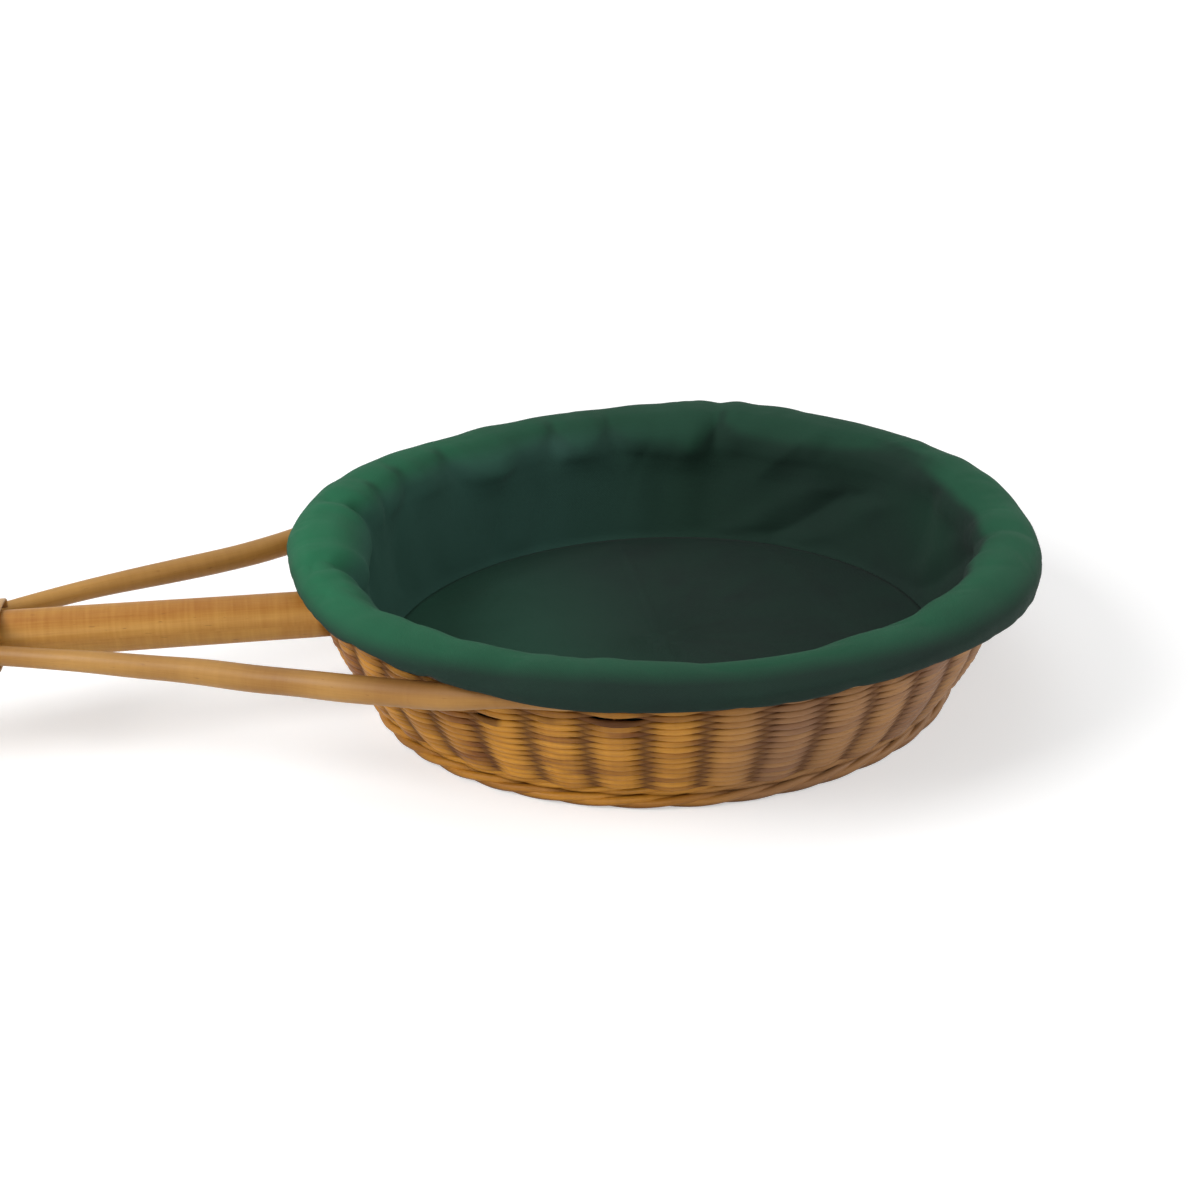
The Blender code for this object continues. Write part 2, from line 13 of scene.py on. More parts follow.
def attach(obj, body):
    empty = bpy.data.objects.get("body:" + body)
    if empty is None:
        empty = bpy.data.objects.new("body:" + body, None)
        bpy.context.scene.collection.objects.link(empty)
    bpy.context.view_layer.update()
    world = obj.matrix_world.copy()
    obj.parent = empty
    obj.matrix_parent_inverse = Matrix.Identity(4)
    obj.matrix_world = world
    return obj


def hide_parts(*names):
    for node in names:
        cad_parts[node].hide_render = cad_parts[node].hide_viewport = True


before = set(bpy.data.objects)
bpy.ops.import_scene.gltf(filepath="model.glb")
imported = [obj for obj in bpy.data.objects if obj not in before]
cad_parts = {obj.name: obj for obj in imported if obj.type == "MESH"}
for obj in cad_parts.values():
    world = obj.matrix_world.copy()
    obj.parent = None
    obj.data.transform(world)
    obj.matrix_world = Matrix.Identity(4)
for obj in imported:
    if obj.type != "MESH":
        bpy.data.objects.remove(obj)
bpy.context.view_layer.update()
fullTurn = 2 * math.pi


# shader maths: a socket that turns Python arithmetic into Math nodes

class Link:
    def __init__(self, board, socket):
        self.board = board
        self.socket = socket

    def math(self, operation, *values):
        board = self.board
        return board.add("ShaderNodeMath", {"operation": operation}, dict(enumerate(values)))

    def __add__(self, other):
        return self.math("ADD", self, other)

    def __radd__(self, other):
        return self.math("ADD", other, self)

    def __sub__(self, other):
        return self.math("SUBTRACT", self, other)

    def __rsub__(self, other):
        return self.math("SUBTRACT", other, self)

    def __mul__(self, other):
        return self.math("MULTIPLY", self, other)

    def __rmul__(self, other):
        return self.math("MULTIPLY", other, self)

    def clamp(self):
        return self.math("MINIMUM", self.math("MAXIMUM", self, 0.0), 1.0)


class Board:
    # one material or world, and the nodes added to it
    def __init__(self, tree):
        self.tree = tree

    def add(self, kind, settings=None, values=None, output=0):
        node = self.tree.nodes.new(kind)
        for name, value in (settings or {}).items():
            setattr(node, name, value)
        for name, value in (values or {}).items():
            if isinstance(value, Link):
                self.tree.links.new(value.socket, node.inputs[name])
            else:
                node.inputs[name].default_value = value
        return Link(self, node.outputs[output])

    def attribute(self, name):
        return self.add("ShaderNodeAttribute", {"attribute_name": name}, output="Fac")

    def mapUv(self, scale):
        uv = self.add("ShaderNodeUVMap", {"uv_map": "surfaceMap"})
        return self.add("ShaderNodeMapping", None, {"Vector": uv, "Scale": scale})

    def mapObject(self, scale):
        spot = self.add("ShaderNodeTexCoord", output="Object")
        return self.add("ShaderNodeMapping", None, {"Vector": spot, "Scale": scale})

    def noise(self, vector, detail, roughness):
        # the vector is already scaled
        values = {"Vector": vector, "Scale": 1.0, "Detail": detail, "Roughness": roughness}
        return self.add("ShaderNodeTexNoise", None, values)

    def spread(self, value, low, high, toLow=0.0, toHigh=1.0):
        values = {"Value": value, "From Min": low, "From Max": high,
                  "To Min": toLow, "To Max": toHigh}
        return self.add("ShaderNodeMapRange", {"clamp": True}, values)

    def mix(self, factor, first, second):
        settings = {"data_type": "RGBA", "clamp_factor": True}
        values = {0: factor, 6: first, 7: second}
        return self.add("ShaderNodeMix", settings, values, output=2)

    def bump(self, height, distance):
        values = {"Height": height, "Distance": distance, "Strength": 1.0}
        return self.add("ShaderNodeBump", None, values)


def newMaterial(name, fixed):
    material = bpy.data.materials.new(name)
    material.use_nodes = True
    shader = material.node_tree.nodes["Principled BSDF"]
    for socket, value in fixed.items():
        shader.inputs[socket].default_value = value
    return material, Board(material.node_tree), shader


def plug(board, shader, **links):
    for name, link in links.items():
        board.tree.links.new(link.socket, shader.inputs[name.replace("_", " ")])


def colour(red, green, blue):
    return (red, green, blue, 1.0)


# materials

rattanFinish = {
    "pole": {
        "dark": colour(0.340, 0.122, 0.012), "light": colour(0.590, 0.315, 0.066),
        "stain": colour(0.120, 0.042, 0.008), "paled": colour(0.300, 0.170, 0.080),
        "roughness": 0.52, "coat": 0.06, "fibre": 1400.0, "bump": 0.00014, "rings": 0.42,
    },
    "rod": {
        "dark": colour(0.255, 0.108, 0.016), "light": colour(0.470, 0.246, 0.058),
        "stain": colour(0.150, 0.055, 0.012), "paled": colour(0.330, 0.200, 0.100),
        "roughness": 0.48, "coat": 0.10, "fibre": 1700.0, "bump": 0.00012, "rings": 0.20,
    },
    "wicker": {
        "dark": colour(0.190, 0.062, 0.006), "light": colour(0.600, 0.268, 0.024),
        "stain": colour(0.082, 0.028, 0.006), "paled": colour(0.270, 0.150, 0.082),
        "roughness": 0.54, "coat": 0.05, "fibre": 2400.0, "bump": 0.00010, "rings": 0.16,
    },
    "cane": {
        "dark": colour(0.340, 0.160, 0.034), "light": colour(0.580, 0.325, 0.095),
        "stain": colour(0.140, 0.055, 0.014), "paled": colour(0.320, 0.200, 0.100),
        "roughness": 0.42, "coat": 0.15, "fibre": 2600.0, "bump": 0.00008, "rings": 0.10,
    },
}


# scales of the patterns along and across a strand, in steps to the metre
rattanGrain = {
    "along": 30.0, "blotches": (22.0, 90.0, 1.0), "specks": (180.0, 1100.0, 1.0),
    "rings": (430.0, 26.0, 1.0),
}


def rattanMaterial(name, look):
    # fibres run along u and faint growth rings across them; tone is each strand's own shade, with
    # painted light and shade added on the pole's sides and on the wall's bulges; the shade mask
    # lays on the stain colour as painted shade where strands lie back or under the cuff, and as
    # real stain at the pole's node scars; the pale mask turns the gold greyer over a stretch of
    # the wall
    fixed = {"Coat Roughness": 0.30, "Specular IOR Level": 0.30}
    material, board, shader = newMaterial(name, fixed)
    tone = board.attribute("tone")
    hollow = board.attribute("hollow")
    wear = board.attribute("wear")
    fibres = board.noise(board.mapUv((rattanGrain["along"], look["fibre"], 1.0)), 3.0, 0.6)
    blotches = board.noise(board.mapUv(rattanGrain["blotches"]), 3.0, 0.55)
    specks = board.noise(board.mapUv(rattanGrain["specks"]), 2.0, 0.5)
    rings = board.noise(board.mapUv(rattanGrain["rings"]), 2.0, 0.55)
    shade = tone * 0.62 + blotches * 0.42 + (fibres - 0.5) * 0.34 + (rings - 0.5) * look["rings"]
    body = board.mix(board.spread(shade, 0.22, 0.88), look["dark"], look["light"])
    body = board.mix((wear * (0.7 + blotches * 0.5)).clamp(), body, look["paled"])
    scars = board.spread(specks, 0.68, 0.76) * 0.5
    body = board.mix(scars, body, look["stain"])
    # painted shade, and real stain on the pole's node scars, both in the stain colour
    shadeAndStainMix = (hollow * 0.9 + (blotches - 0.5) * 0.3 * hollow).clamp()
    body = board.mix(shadeAndStainMix, body, look["stain"])
    plug(board, shader, Base_Color=body)
    rough = look["roughness"] + (fibres - 0.5) * 0.16 + hollow * 0.22
    plug(board, shader, Roughness=rough.clamp())
    plug(board, shader, Coat_Weight=((1.0 - hollow) * look["coat"]).clamp())
    plug(board, shader, Normal=board.bump(fibres * 0.8 + specks * 0.2, look["bump"]))
    return material


clothLook = {
    "deep": colour(0.0140, 0.051, 0.030), "face": colour(0.0185, 0.069, 0.041),
    "litGreen": colour(0.022, 0.156, 0.073), "shade": colour(0.0118, 0.0205, 0.0175),
    "shadeCastColour": colour(0.040, 0.100, 0.085),
    "threads": 2100.0, "slubs": (60.0, 700.0, 1.0), "clouds": (26.0, 26.0, 1.0),
    "roughness": 0.82, "bump": 0.00007,
}


def clothMaterial(name, look):
    # plain-woven cloth: threads both ways, slight slubs, a paler green painted where light falls
    # on it, painted shade and a painted paler bluish cast in the shade
    fixed = {"Sheen Weight": 0.02, "Sheen Roughness": 0.5, "Specular IOR Level": 0.10}
    material, board, shader = newMaterial(name, fixed)
    wear = board.attribute("wear")
    hollow = board.attribute("hollow")
    across = board.add("ShaderNodeSeparateXYZ", None, {0: board.mapUv((look["threads"],) * 3)})
    along = Link(board, across.socket.node.outputs[1])
    weave = across.math("SINE", across * math.pi) * along.math("SINE", along * math.pi)
    slubs = board.noise(board.mapUv(look["slubs"]), 2.0, 0.5)
    cloudy = board.noise(board.mapUv(look["clouds"]), 3.0, 0.55)
    shade = cloudy * 0.7 + slubs * 0.3
    body = board.mix(board.spread(shade, 0.30, 0.72), look["deep"], look["face"])
    # painted light: a paler green where light falls on the cuff
    body = board.mix((wear * (0.55 + cloudy * 0.6)).clamp(), body, look["litGreen"])
    # painted shade: the shade colour where the cloth lies in shade
    body = board.mix((hollow * (0.85 + (cloudy - 0.5) * 0.5)).clamp(), body, look["shade"])
    # painted light: tone lays a paler bluish cast on the cloth deep in the shade
    body = board.mix((board.attribute("tone") * (0.8 + cloudy * 0.4)).clamp(), body, look["shadeCastColour"])
    plug(board, shader, Base_Color=body)
    plug(board, shader, Roughness=(look["roughness"] + (slubs - 0.5) * 0.12).clamp())
    plug(board, shader, Normal=board.bump(weave * 0.5 + slubs * 0.8, look["bump"]))
    return material


steelLook = {
    "bright": colour(0.42, 0.40, 0.38), "rust": colour(0.16, 0.07, 0.03), "spots": 900.0,
    "bump": 0.00004,
}


def steelMaterial(name, look):
    material, board, shader = newMaterial(name, {"Specular IOR Level": 0.5})
    spots = board.noise(board.mapObject((look["spots"],) * 3), 3.0, 0.6)
    rusty = board.spread(spots, 0.52, 0.66)
    plug(board, shader, Base_Color=board.mix(rusty, look["bright"], look["rust"]))
    plug(board, shader, Metallic=1.0 - rusty * 0.8, Roughness=0.34 + rusty * 0.4)
    plug(board, shader, Normal=board.bump(spots, look["bump"]))
    return material


poleRattan = rattanMaterial("poleRattan", rattanFinish["pole"])
rodRattan = rattanMaterial("rodRattan", rattanFinish["rod"])
wickerRattan = rattanMaterial("wickerRattan", rattanFinish["wicker"])
splitCane = rattanMaterial("splitCane", rattanFinish["cane"])
greenCloth = clothMaterial("greenCloth", clothLook)
nailSteel = steelMaterial("nailSteel", steelLook)
print("materials made")


# shapes: each patch is a grid whose two ways, u and v from 0 to 1, are laid on the piece

def newShape():
    shape = bmesh.new()
    shape.loops.layers.uv.new("surfaceMap")
    for name in ("tone", "hollow", "wear"):
        shape.verts.layers.float.new(name)
    return shape


def addPatch(shape, columns, rows, place, **shades):
    made = bmesh.ops.create_grid(
        shape, x_segments=columns, y_segments=rows, size=0.5, calc_uvs=True)["verts"]
    flat = np.array([vert.co[:2] for vert in made]) + 0.5
    u, v = flat[:, 0], flat[:, 1]
    for vert, spot in zip(made, place(u, v).tolist()):
        vert.co = spot
    for name, amount in shades.items():
        layer = shape.verts.layers.float[name]
        found = amount(u, v) if callable(amount) else np.full(len(made), float(amount))
        for vert, value in zip(made, found.tolist()):
            vert[layer] = value


def newObject(name, data):
    made = bpy.data.objects.new(name, data)
    bpy.context.scene.collection.objects.link(made)
    return made


def finishPiece(name, shape, material, body, nodes, uvSize, turnOut=True):
    # uvSize is the piece's length and breadth in metres, so that patterns keep their scale
    bmesh.ops.remove_doubles(shape, verts=shape.verts, dist=2e-6)
    if turnOut:
        bmesh.ops.recalc_face_normals(shape, faces=shape.faces)
    mesh = bpy.data.meshes.new(name)
    shape.to_mesh(mesh)
    shape.free()
    layer = mesh.uv_layers["surfaceMap"].uv
    uv = np.empty(len(layer) * 2, np.float32)
    layer.foreach_get("vector", uv)
    layer.foreach_set("vector", (uv.reshape(-1, 2) * uvSize).astype(np.float32).ravel())
    mesh.shade_smooth()
    mesh.materials.append(material)
    piece = newObject(name, mesh)
    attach(piece, body)
    if nodes:
        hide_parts(*nodes)
    print(name, len(mesh.polygons), "faces")
    return piece


def ringNoise(rng, angle, orders, size):
    # smooth noise that closes on itself round the ring
    total = np.zeros_like(angle)
    for order in orders:
        total += rng.normal() * np.cos(order * angle + rng.uniform(0, fullTurn))
    return total * size / math.sqrt(len(orders))


def smooth(low, high, value):
    share = np.clip((value - low) / (high - low), 0.0, 1.0)
    return share * share * (3 - 2 * share)


def turnTo(degrees):
    # the same angle, between -180 and 180
    return (degrees + 180) % 360 - 180


def hump(away, wide=1.0):
    return np.exp(-(away / wide) ** 2)


def humps(table, degrees):
    # sum of soft humps round a ring, from a table of middle, half width and height
    return sum(high * hump(turnTo(degrees - middle), wide) for middle, wide, high in table)


def blunted(wave, power):
    # a cosine or sine drawn towards a square
    return np.sign(wave) * np.abs(wave) ** power


def closedEnds(u):
    # nothing at both ends of a tube, so that they close
    return np.where((u > 0.001) & (u < 0.999), 1.0, 0.0)


# the basket's oval and the curve of its wall

oval = {
    "halfLength": 0.155, "halfWidth": 0.139, "wallSpread": 0.0217, "wallFullness": 0.92,
    "wallThickness": 0.005, "wallBottom": 0.0068, "wallTop": 0.0662, "gap": 0.0004,
    "girth": 0.92,
}


def ovalPlace(offset, height, angle):
    across = (oval["halfLength"] + offset) * np.cos(angle)
    along = (oval["halfWidth"] + offset) * np.sin(angle)
    return np.stack(np.broadcast_arrays(across, along, height), axis=-1)


def wallOffset(height):
    share = (height - oval["wallBottom"]) / (oval["wallTop"] - oval["wallBottom"])
    share = np.clip(share, 0.0, 1.0)
    return oval["wallSpread"] * (share + oval["wallFullness"] * share * (1 - share) - 1)


# woven wall: rows of thin strands that pass in front of and behind the uprights

wall = {
    "rows": 34, "bottom": 0.0104, "top": 0.0658, "steps": 320, "sides": 8,
    "uprights": 40, "firstUpright": -0.9, "wave": 0.00140, "strandDepth": 0.00108,
    "strandHeight": 0.00158, "pinch": 0.50, "square": 0.72, "uprightRadius": 0.0007,
    "underCuff": 0.50,
    # small changes along each row, and the shades of uprights and rows
    "sway": 0.00035, "lift": 0.00014, "reach": 0.00012, "girthChange": 0.045,
    "uprightTone": 0.20, "rowTone": (0.32, 0.70), "patches": 0.27,
    # how far above and below an opening rows part and are painted dark, and the rise that is
    # painted darkest
    "partedReach": 0.0032, "darkReach": 0.0016, "darkestRise": 0.0009,
    # openings between two rows: angle, half width in degrees, level and rise of the rows beside it
    "openings": ((-128.7, 2.2, 0.0460, 0.0009), (-108.5, 3.6, 0.0520, 0.0011),
                 (-118.6, 1.6, 0.0505, 0.0004), (-62.0, 2.4, 0.0535, 0.0006),
                 (38.0, 3.0, 0.0500, 0.0009), (71.0, 2.6, 0.0560, 0.0009),
                 (118.0, 3.0, 0.0480, 0.0008), (-24.0, 2.4, 0.0520, 0.0006),
                 (152.0, 2.6, 0.0540, 0.0008)),
    # stretch of the wall that turns greyer and paler, from and to these angles, and how strongly
    "greyerAlong": ((-102.0, -84.0), (20.0, 70.0)), "greyerBy": 0.70,
}


def greyerStretch(angle):
    degrees = turnTo(np.degrees(angle))
    (start, full), (fade, end) = wall["greyerAlong"]
    return wall["greyerBy"] * smooth(start, full, degrees) * (1 - smooth(fade, end, degrees))


def buildWall():
    rng = np.random.default_rng(11)
    shape = newShape()
    pitch = (wall["top"] - wall["bottom"]) / wall["rows"]
    firstUpright = math.radians(wall["firstUpright"])
    grid = np.linspace(0, fullTurn, 721)
    sway = [ringNoise(rng, grid, (2, 3, 5), wall["sway"]) for _ in range(4)]
    # each upright's own shade, carried by all rows
    shades = rng.normal(0, wall["uprightTone"], wall["uprights"])

    def around(values, angle):
        return np.interp(angle, grid, values)

    for row in range(wall["rows"]):
        rowLevel = wall["bottom"] + pitch * (row + 0.5)
        side = 1.0 if row % 2 else -1.0
        lift = ringNoise(rng, grid, (7, 11, 17, 23), wall["lift"])
        reach = ringNoise(rng, grid, (9, 13, 21, 31), wall["reach"])
        girth = ringNoise(rng, grid, (4, 9, 15), wall["girthChange"])
        ownTone = rng.uniform(*wall["rowTone"])
        patches = ringNoise(rng, grid, (3, 5, 8, 12, 19, 27), wall["patches"])
        level = row / (wall["rows"] - 1) * (len(sway) - 1)
        low = min(int(level), len(sway) - 2)
        common = sway[low] * (low + 1 - level) + sway[low + 1] * (level - low)

        def gape(angle):
            # rows part a little at a few places below the rim, with painted shade there
            rise, dark = np.zeros_like(angle), np.zeros_like(angle)
            for degrees, width, height, opened in wall["openings"]:
                away = np.abs((angle - math.radians(degrees) + math.pi) % fullTurn - math.pi)
                parted = smooth(math.radians(width * 1.35), math.radians(width * 0.60), away)
                near = hump(rowLevel - height, wall["partedReach"])
                rise += math.copysign(opened * near, rowLevel - height) * parted
                beside = hump(rowLevel - height, wall["darkReach"])
                dark += min(1.0, opened / wall["darkestRise"]) * beside * parted
            return rise, np.clip(dark, 0, 1)

        def wave(angle):
            return side * np.cos(wall["uprights"] / 2 * (angle - firstUpright))

        def place(u, v):
            angle = fullTurn * u
            out = wave(angle)
            grown = wall["pinch"] + (1 - wall["pinch"]) * np.abs(out)
            grown = grown * (1 + around(girth, angle))
            turn = fullTurn * v
            height = rowLevel + around(lift, angle) + around(common, angle) + gape(angle)[0]
            middle = wallOffset(height) - oval["wallThickness"] / 2
            middle = middle + wall["wave"] * out + around(reach, angle)
            # strands are nearly square in section, so the rows close up
            deep = blunted(np.cos(turn), wall["square"])
            high = blunted(np.sin(turn), wall["square"])
            offset = middle + wall["strandDepth"] * (0.5 + 0.5 * grown) * deep
            return ovalPlace(offset, height + wall["strandHeight"] * grown * high, angle)

        def tone(u, v):
            angle = fullTurn * u
            number = np.rint((angle - firstUpright) / fullTurn * wall["uprights"]).astype(int)
            own = shades[number % wall["uprights"]]
            # painted light and shade: a strand is lighter where it bulges out in front and darker
            # behind
            return np.clip(ownTone + around(patches, angle) + own + 0.14 * wave(angle), 0.0, 1.0)

        def hollow(u, v):
            # painted shade: dark where a strand passes behind, in the openings, and under the cuff
            # in front
            angle = fullTurn * u
            back = 0.5 - 0.5 * wave(angle)
            dark = smooth(0.02, 0.62, back) * 0.96
            front = 0.40 - 0.60 * np.sin(angle)
            under = wall["underCuff"] * smooth(0.047, 0.060, rowLevel) * np.clip(front, 0, 1)
            return 1 - (1 - dark) * (1 - gape(angle)[1]) * (1 - under)

        def wear(u, v):
            angle = fullTurn * u
            return np.clip(greyerStretch(angle) + 0.12 * around(patches, angle), 0.0, 1.0)

        addPatch(shape, wall["steps"], wall["sides"], place, tone=tone, hollow=hollow, wear=wear)
    for k in range(wall["uprights"]):
        angle = firstUpright + fullTurn * k / wall["uprights"]
        ownTone = rng.uniform(0.2, 0.6)

        def stand(u, v):
            height = oval["wallBottom"] + (oval["wallTop"] - oval["wallBottom"]) * u
            radius = wall["uprightRadius"] * closedEnds(u)
            turn = fullTurn * v
            offset = wallOffset(height) - oval["wallThickness"] / 2 + radius * np.cos(turn)
            spot = ovalPlace(offset, height, angle)
            spot[:, 0] -= radius * np.sin(turn) * math.sin(angle)
            spot[:, 1] += radius * np.sin(turn) * math.cos(angle)
            return spot

        addPatch(shape, 14, 6, stand, tone=ownTone, hollow=0.55)
    finishPiece("wovenWall", shape, wickerRattan, "basket", ["wall_weave"],
                (oval["girth"], 0.008))


# twisted rows: the foot, the row above it, and the border on the rim

twists = (
    {
        "name": "footRow", "nodes": ["foot_border"], "middle": -0.0231, "level": 0.00322,
        "strands": 3, "turns": 13, "radius": 0.00195, "swingOut": 0.00140, "swingUp": 0.00122,
        "steps": 420, "tone": (0.25, 0.75), "hollow": 0.0, "shaded": 0.90,
    },
    {
        "name": "baseRow", "nodes": [], "middle": -0.0229, "level": 0.00860,
        "strands": 3, "turns": 17, "radius": 0.00135, "swingOut": 0.00110, "swingUp": 0.00095,
        "steps": 420, "tone": (0.60, 0.90), "hollow": 0.05, "shaded": 0.45,
    },
    {
        "name": "rimBorder", "nodes": ["rim_border"], "middle": -0.0030, "level": 0.0703,
        "strands": 4, "turns": 34, "radius": 0.00215, "swingOut": 0.00335, "swingUp": 0.00165,
        "steps": 440, "tone": (0.45, 0.90), "hollow": 0.05, "shaded": 0.10,
    },
)


def buildTwist(row, seed):
    rng = np.random.default_rng(seed)
    shape = newShape()
    for strand in range(row["strands"]):
        start = fullTurn * strand / row["strands"]
        drift = rng.uniform(0, fullTurn)

        def twisted(angle):
            return row["turns"] * angle + start + 0.25 * np.sin(5 * angle + drift)

        def place(u, v):
            angle, section = fullTurn * u, fullTurn * v
            turn = twisted(angle)
            offset = (row["middle"] + row["swingOut"] * np.cos(turn)
                      + row["radius"] * np.cos(section))
            height = (row["level"] + row["swingUp"] * np.sin(turn)
                      + row["radius"] * np.sin(section))
            return ovalPlace(offset, height, angle)

        def hollow(u, v):
            # painted shade: strands lie darker where they pass behind, and towards the ground
            turn = twisted(fullTurn * u)
            height = row["swingUp"] * np.sin(turn) + row["radius"] * np.sin(fullTurn * v)
            low = smooth(0.1, -0.8, height / (row["swingUp"] + row["radius"]))
            behind = 0.45 * smooth(0.0, -0.9, np.cos(turn))
            return np.clip(row["hollow"] + behind + row["shaded"] * low, 0.0, 1.0)

        addPatch(shape, row["steps"], 8, place, tone=rng.uniform(*row["tone"]), hollow=hollow,
                 wear=lambda u, v: greyerStretch(fullTurn * u))
    finishPiece(row["name"], shape, wickerRattan, "basket", row["nodes"],
                (oval["girth"], 0.009))


# woven base: ring-shaped rows on the sticks

base = {
    "rings": 25, "offset": -0.0271, "pitch": 0.0044, "thickness": 0.0040, "wave": 0.0008,
    "radius": 0.00225, "depth": 0.0012, "spokes": 34,
}


def buildBase():
    rng = np.random.default_rng(23)
    shape = newShape()
    for ring in range(base["rings"]):
        offset = base["offset"] - base["radius"] - base["pitch"] * ring
        size = (oval["halfWidth"] + offset) / oval["halfWidth"]
        side = 1.0 if ring % 2 else -1.0
        steps = max(48, int(wall["steps"] * size))

        def place(u, v):
            angle = fullTurn * u
            turn = fullTurn * v
            swing = side * base["wave"] * np.cos(base["spokes"] * angle)
            height = base["thickness"] / 2 + swing + base["depth"] * np.sin(turn)
            return ovalPlace(offset + base["radius"] * np.cos(turn), height, angle)

        addPatch(shape, steps, 8, place, tone=rng.uniform(0.2, 0.8), hollow=0.15)
    finishPiece("wovenBase", shape, wickerRattan, "basket", ["base_weave"], (0.6, 0.012))


# round rods swept along a path

def directions(path):
    # unit direction at each point of a path whose end points are doubled
    along = np.gradient(path, axis=0)
    along[0], along[-1] = along[1], along[-2]
    return along / np.linalg.norm(along, axis=1)[:, None]


def sweepRound(shape, path, radii, sides, **shades):
    # its ends are flat; the side way is level, so no rod may run straight up
    path = np.concatenate([path[:1], path, path[-1:]])
    radii = np.concatenate([[0.0], radii, [0.0]])
    along = directions(path)
    sideways = np.cross(np.array([0.0, 0.0, 1.0]), along)
    sideways /= np.linalg.norm(sideways, axis=1)[:, None]
    upward = np.cross(along, sideways)
    last = len(path) - 1

    def place(u, v):
        i = np.rint(u * last).astype(int)
        turn = fullTurn * v[:, None]
        out = np.cos(turn) * sideways[i] + np.sin(turn) * upward[i]
        return path[i] + radii[i][:, None] * out

    addPatch(shape, last, sides, place, **shades)


def atStep(u, values):
    # the value at a swept rod's step; its flat ends take the first and the last
    step = np.rint(u * (len(values) + 1)).astype(int) - 1
    return values[np.clip(step, 0, len(values) - 1)]


pole = {
    "radius": 0.0103, "reach": 0.765, "start": 0.1535, "cutFrom": -0.1545, "level": 0.045,
    "slope": math.tan(math.radians(1.89)), "wallReach": 0.155, "rounding": 0.006,
    "waver": 0.00022, "sides": 56, "step": 0.0022, "tone": 0.50,
    # each node swells, with a narrower scar and stain round its middle
    "nodes": (0.395, 0.600), "nodeRise": 0.00045, "nodeWidth": 0.0036, "scarDepth": 0.00035,
    "scarNarrower": 5, "stainNarrower": 3.2, "stain": 0.75,
    # painted light and shade along it, by side: angle up from the near side, half width, and paler
    # or redder by how much
    "sideLightBands": ((24, 16, 0.26), (54, 19, -0.24), (-24, 20, 0.22), (84, 24, -0.10), (140, 30, 0.2),
                (-110, 34, 0.12)),
}


def onPole(distance):
    rise = pole["slope"] * (distance - pole["wallReach"])
    return np.stack([-distance, 0 * distance, pole["level"] + rise], axis=-1)


def buildPole():
    rng = np.random.default_rng(5)
    shape = newShape()
    count = int((pole["reach"] - pole["start"]) / pole["step"])
    straight = np.linspace(pole["start"], pole["reach"] - pole["rounding"], count)
    turn = np.linspace(0, math.pi / 2, 12)[1:-1]
    butt = pole["reach"] - pole["rounding"] * (1 - np.sin(turn))
    distance = np.concatenate([straight, butt, [pole["reach"]]])
    radius = np.full(len(distance), pole["radius"])
    radius += ringNoise(rng, distance * 20, (0.6, 1.1, 1.9), pole["waver"] * 0.5)
    scar = np.zeros(len(distance))
    for node in pole["nodes"]:
        away = (distance - node) / pole["nodeWidth"]
        radius += (pole["nodeRise"] * hump(away)
                   - pole["scarDepth"] * hump(away * pole["scarNarrower"]))
        scar += hump(away * pole["stainNarrower"])
    # the butt is rounded off
    share = np.clip((distance - pole["reach"] + pole["rounding"]) / pole["rounding"], 0, 1)
    radius -= pole["rounding"] * (1 - np.sqrt(1 - share ** 2))
    radius[-1] = pole["radius"] - pole["rounding"]
    path = onPole(distance)
    path[:, 1] += ringNoise(rng, distance * 9, (0.7, 1.3), pole["waver"])

    def hollow(u, v):
        return np.clip(atStep(u, scar) * pole["stain"], 0, 1)

    def tone(u, v):
        # painted light and shade: paler or darker bands by which side of the pole they face
        return np.clip(pole["tone"] + humps(pole["sideLightBands"], 360 * v), 0, 1)

    sweepRound(shape, path, radius, pole["sides"], tone=tone, hollow=hollow)
    # the end at the basket is cut to the wall's curve
    for vert in shape.verts:
        x, y, z = vert.co
        if x > pole["cutFrom"]:
            outside = float(wallOffset(z)) + oval["gap"]
            across = math.sqrt(1 - (y / (oval["halfWidth"] + outside)) ** 2)
            vert.co.x = -(oval["halfLength"] + outside) * across
    finishPiece("poleStick", shape, poleRattan, "basket", ["pole"], (0.61, 0.065))


rods = {
    "radius": 0.0056, "hoopRadius": 0.0040, "paredAt": math.radians(120.0), "level": 0.0655,
    "gap": 0.0004, "tailRadius": 0.0041, "tailEnd": 0.344,
    "forkStart": 0.2973, "meetsRim": math.radians(135.0), "atLevel": math.radians(104.7),
    "drop": 0.0089, "forkPull": 0.0898, "forkSpread": math.tan(math.radians(22.78)),
    "forkClimb": math.tan(math.radians(3.32)),
    "rimPull": 0.0707, "fullShare": 0.62, "tailTip": 0.55, "waver": 0.00018,
    # steps along tail, strut and hoop
    "steps": (22, 90, 170), "sides": 20, "tone": 0.62, "toneChange": 0.16,
    # stretches of X over which the far rod gets painted light, and both rods a painted shadow of
    # the cuff
    "paler": 0.42, "palerAlong": (-0.19, -0.27), "shadedAlong": (-0.168, -0.120),
}


def rodRadius(angle):
    grown = smooth(rods["paredAt"], rods["meetsRim"], angle)
    return rods["hoopRadius"] + (rods["radius"] - rods["hoopRadius"]) * grown


def rodOnRim(angle):
    share = np.clip((angle - rods["atLevel"]) / (rods["meetsRim"] - rods["atLevel"]), 0, None)
    level = rods["level"] - rods["drop"] * share ** 2
    return ovalPlace(rods["gap"] + rodRadius(angle), level, angle)


